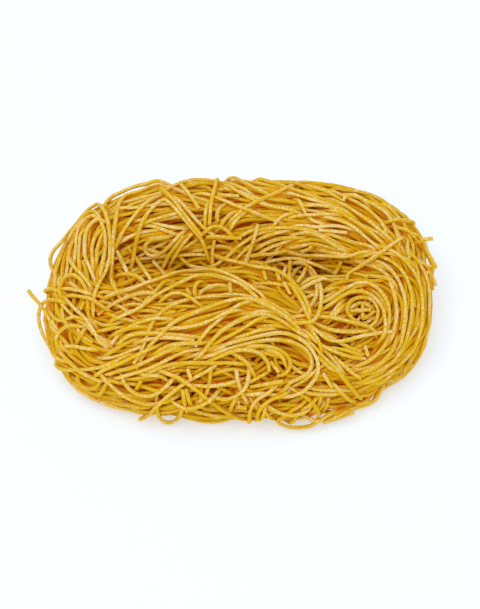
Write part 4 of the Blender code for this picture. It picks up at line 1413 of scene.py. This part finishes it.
def add_heart():
    """Rows of latitude by columns of angle, each point moved to HEART_DEPTH, with a fan at each tip."""
    latitude = np.linspace(-HEART_TIP, HEART_TIP, HEART_ROWS)
    turn = np.linspace(0, 360, HEART_COLUMNS, endpoint=False)
    grid = on_form(np.tile(turn, HEART_ROWS), np.repeat(latitude, HEART_COLUMNS))
    for _ in range(HEART_TURNS):
        grid = at_depth(grid, HEART_DEPTH)
    grid = grid.reshape(HEART_ROWS, HEART_COLUMNS, 3)
    points = np.vstack([grid.reshape(-1, 3), grid[0].mean(axis=0), grid[-1].mean(axis=0)]) * MM
    low_tip, high_tip = len(points) - 2, len(points) - 1
    row = np.arange(HEART_ROWS - 1)[:, None] * HEART_COLUMNS
    here = np.arange(HEART_COLUMNS)
    after = (here + 1) % HEART_COLUMNS
    above = row + HEART_COLUMNS
    quads = np.stack([row + here, row + after, above + after, above + here], axis=-1)
    top = (HEART_ROWS - 1) * HEART_COLUMNS
    fans = [(low_tip, b, a) for a, b in zip(here, after)]
    fans += [(high_tip, top + a, top + b) for a, b in zip(here, after)]
    mesh = bpy.data.meshes.new("nest_heart")
    mesh.from_pydata(points.tolist(), [], quads.reshape(-1, 4).tolist() + fans)
    mesh.materials.append(heart_painted_shade_material())
    add_piece("nest_heart", mesh)
    print("nest_heart", len(quads.reshape(-1, 4)) * 2 + len(fans), "triangles")


add_heart()

# %% [markdown]
# The picture is a plain one: white paper under a big soft lamp. The floor is so wide that its edge stays
# out of sight when the camera is low, and it glows a little, which is what paper lit from all around does
# to the underside of the nest. The paper's cool white answers the warm light that the nest throws on it.
# A round lamp nearly overhead, a little to the front and left, gives the soft shadow on the right.

# %% Floor, lamp and surrounding light
FLOOR_HALF_SIDE = 12.0
WHITE = "#FFFFFF"
PAPER = "#D9E7F8"
PAPER_ROUGHNESS = 0.9
PAPER_GLOW = 0.345
LAMP_PLACE = (-0.2, -0.15, 1.0)
LAMP_SIZE = 0.9
LAMP_WATTS = 2.6
ROOM_LIGHT = 0.715


def add_floor():
    """A square at height 0, of paper that is matt and glows a little."""
    r = FLOOR_HALF_SIDE
    mesh = bpy.data.meshes.new("table")
    mesh.from_pydata([(-r, -r, 0), (r, -r, 0), (r, r, 0), (-r, r, 0)], [], [(0, 1, 2, 3)])
    paper = bpy.data.materials.new("white_paper")
    paper.use_nodes = True
    settings = {"Base Color": linear(PAPER), "Roughness": PAPER_ROUGHNESS,
                "Emission Color": linear(WHITE), "Emission Strength": PAPER_GLOW}
    for key, value in settings.items():
        paper.node_tree.nodes["Principled BSDF"].inputs[key].default_value = value
    mesh.materials.append(paper)
    floor = bpy.data.objects.new("table", mesh)
    bpy.context.scene.collection.objects.link(floor)


def add_lamp():
    """A disc of light that looks at the middle of the nest."""
    data = bpy.data.lights.new("key", "AREA")
    data.shape = "DISK"
    data.size = LAMP_SIZE
    data.energy = LAMP_WATTS
    lamp = bpy.data.objects.new("key", data)
    lamp.location = LAMP_PLACE
    lamp.rotation_euler = (-Vector(LAMP_PLACE)).to_track_quat("-Z", "Y").to_euler()
    bpy.context.scene.collection.objects.link(lamp)


def add_room_light():
    """Even white light from all around."""
    world = bpy.data.worlds.new("studio")
    world.use_nodes = True
    room = world.node_tree.nodes["Background"]
    room.inputs["Color"].default_value = linear(WHITE)
    room.inputs["Strength"].default_value = ROOM_LIGHT
    bpy.context.scene.world = world


add_floor()
add_lamp()
add_room_light()
bpy.context.scene.view_settings.view_transform = "Standard"
print("lit by one lamp of", LAMP_WATTS, "W and room light of", ROOM_LIGHT)
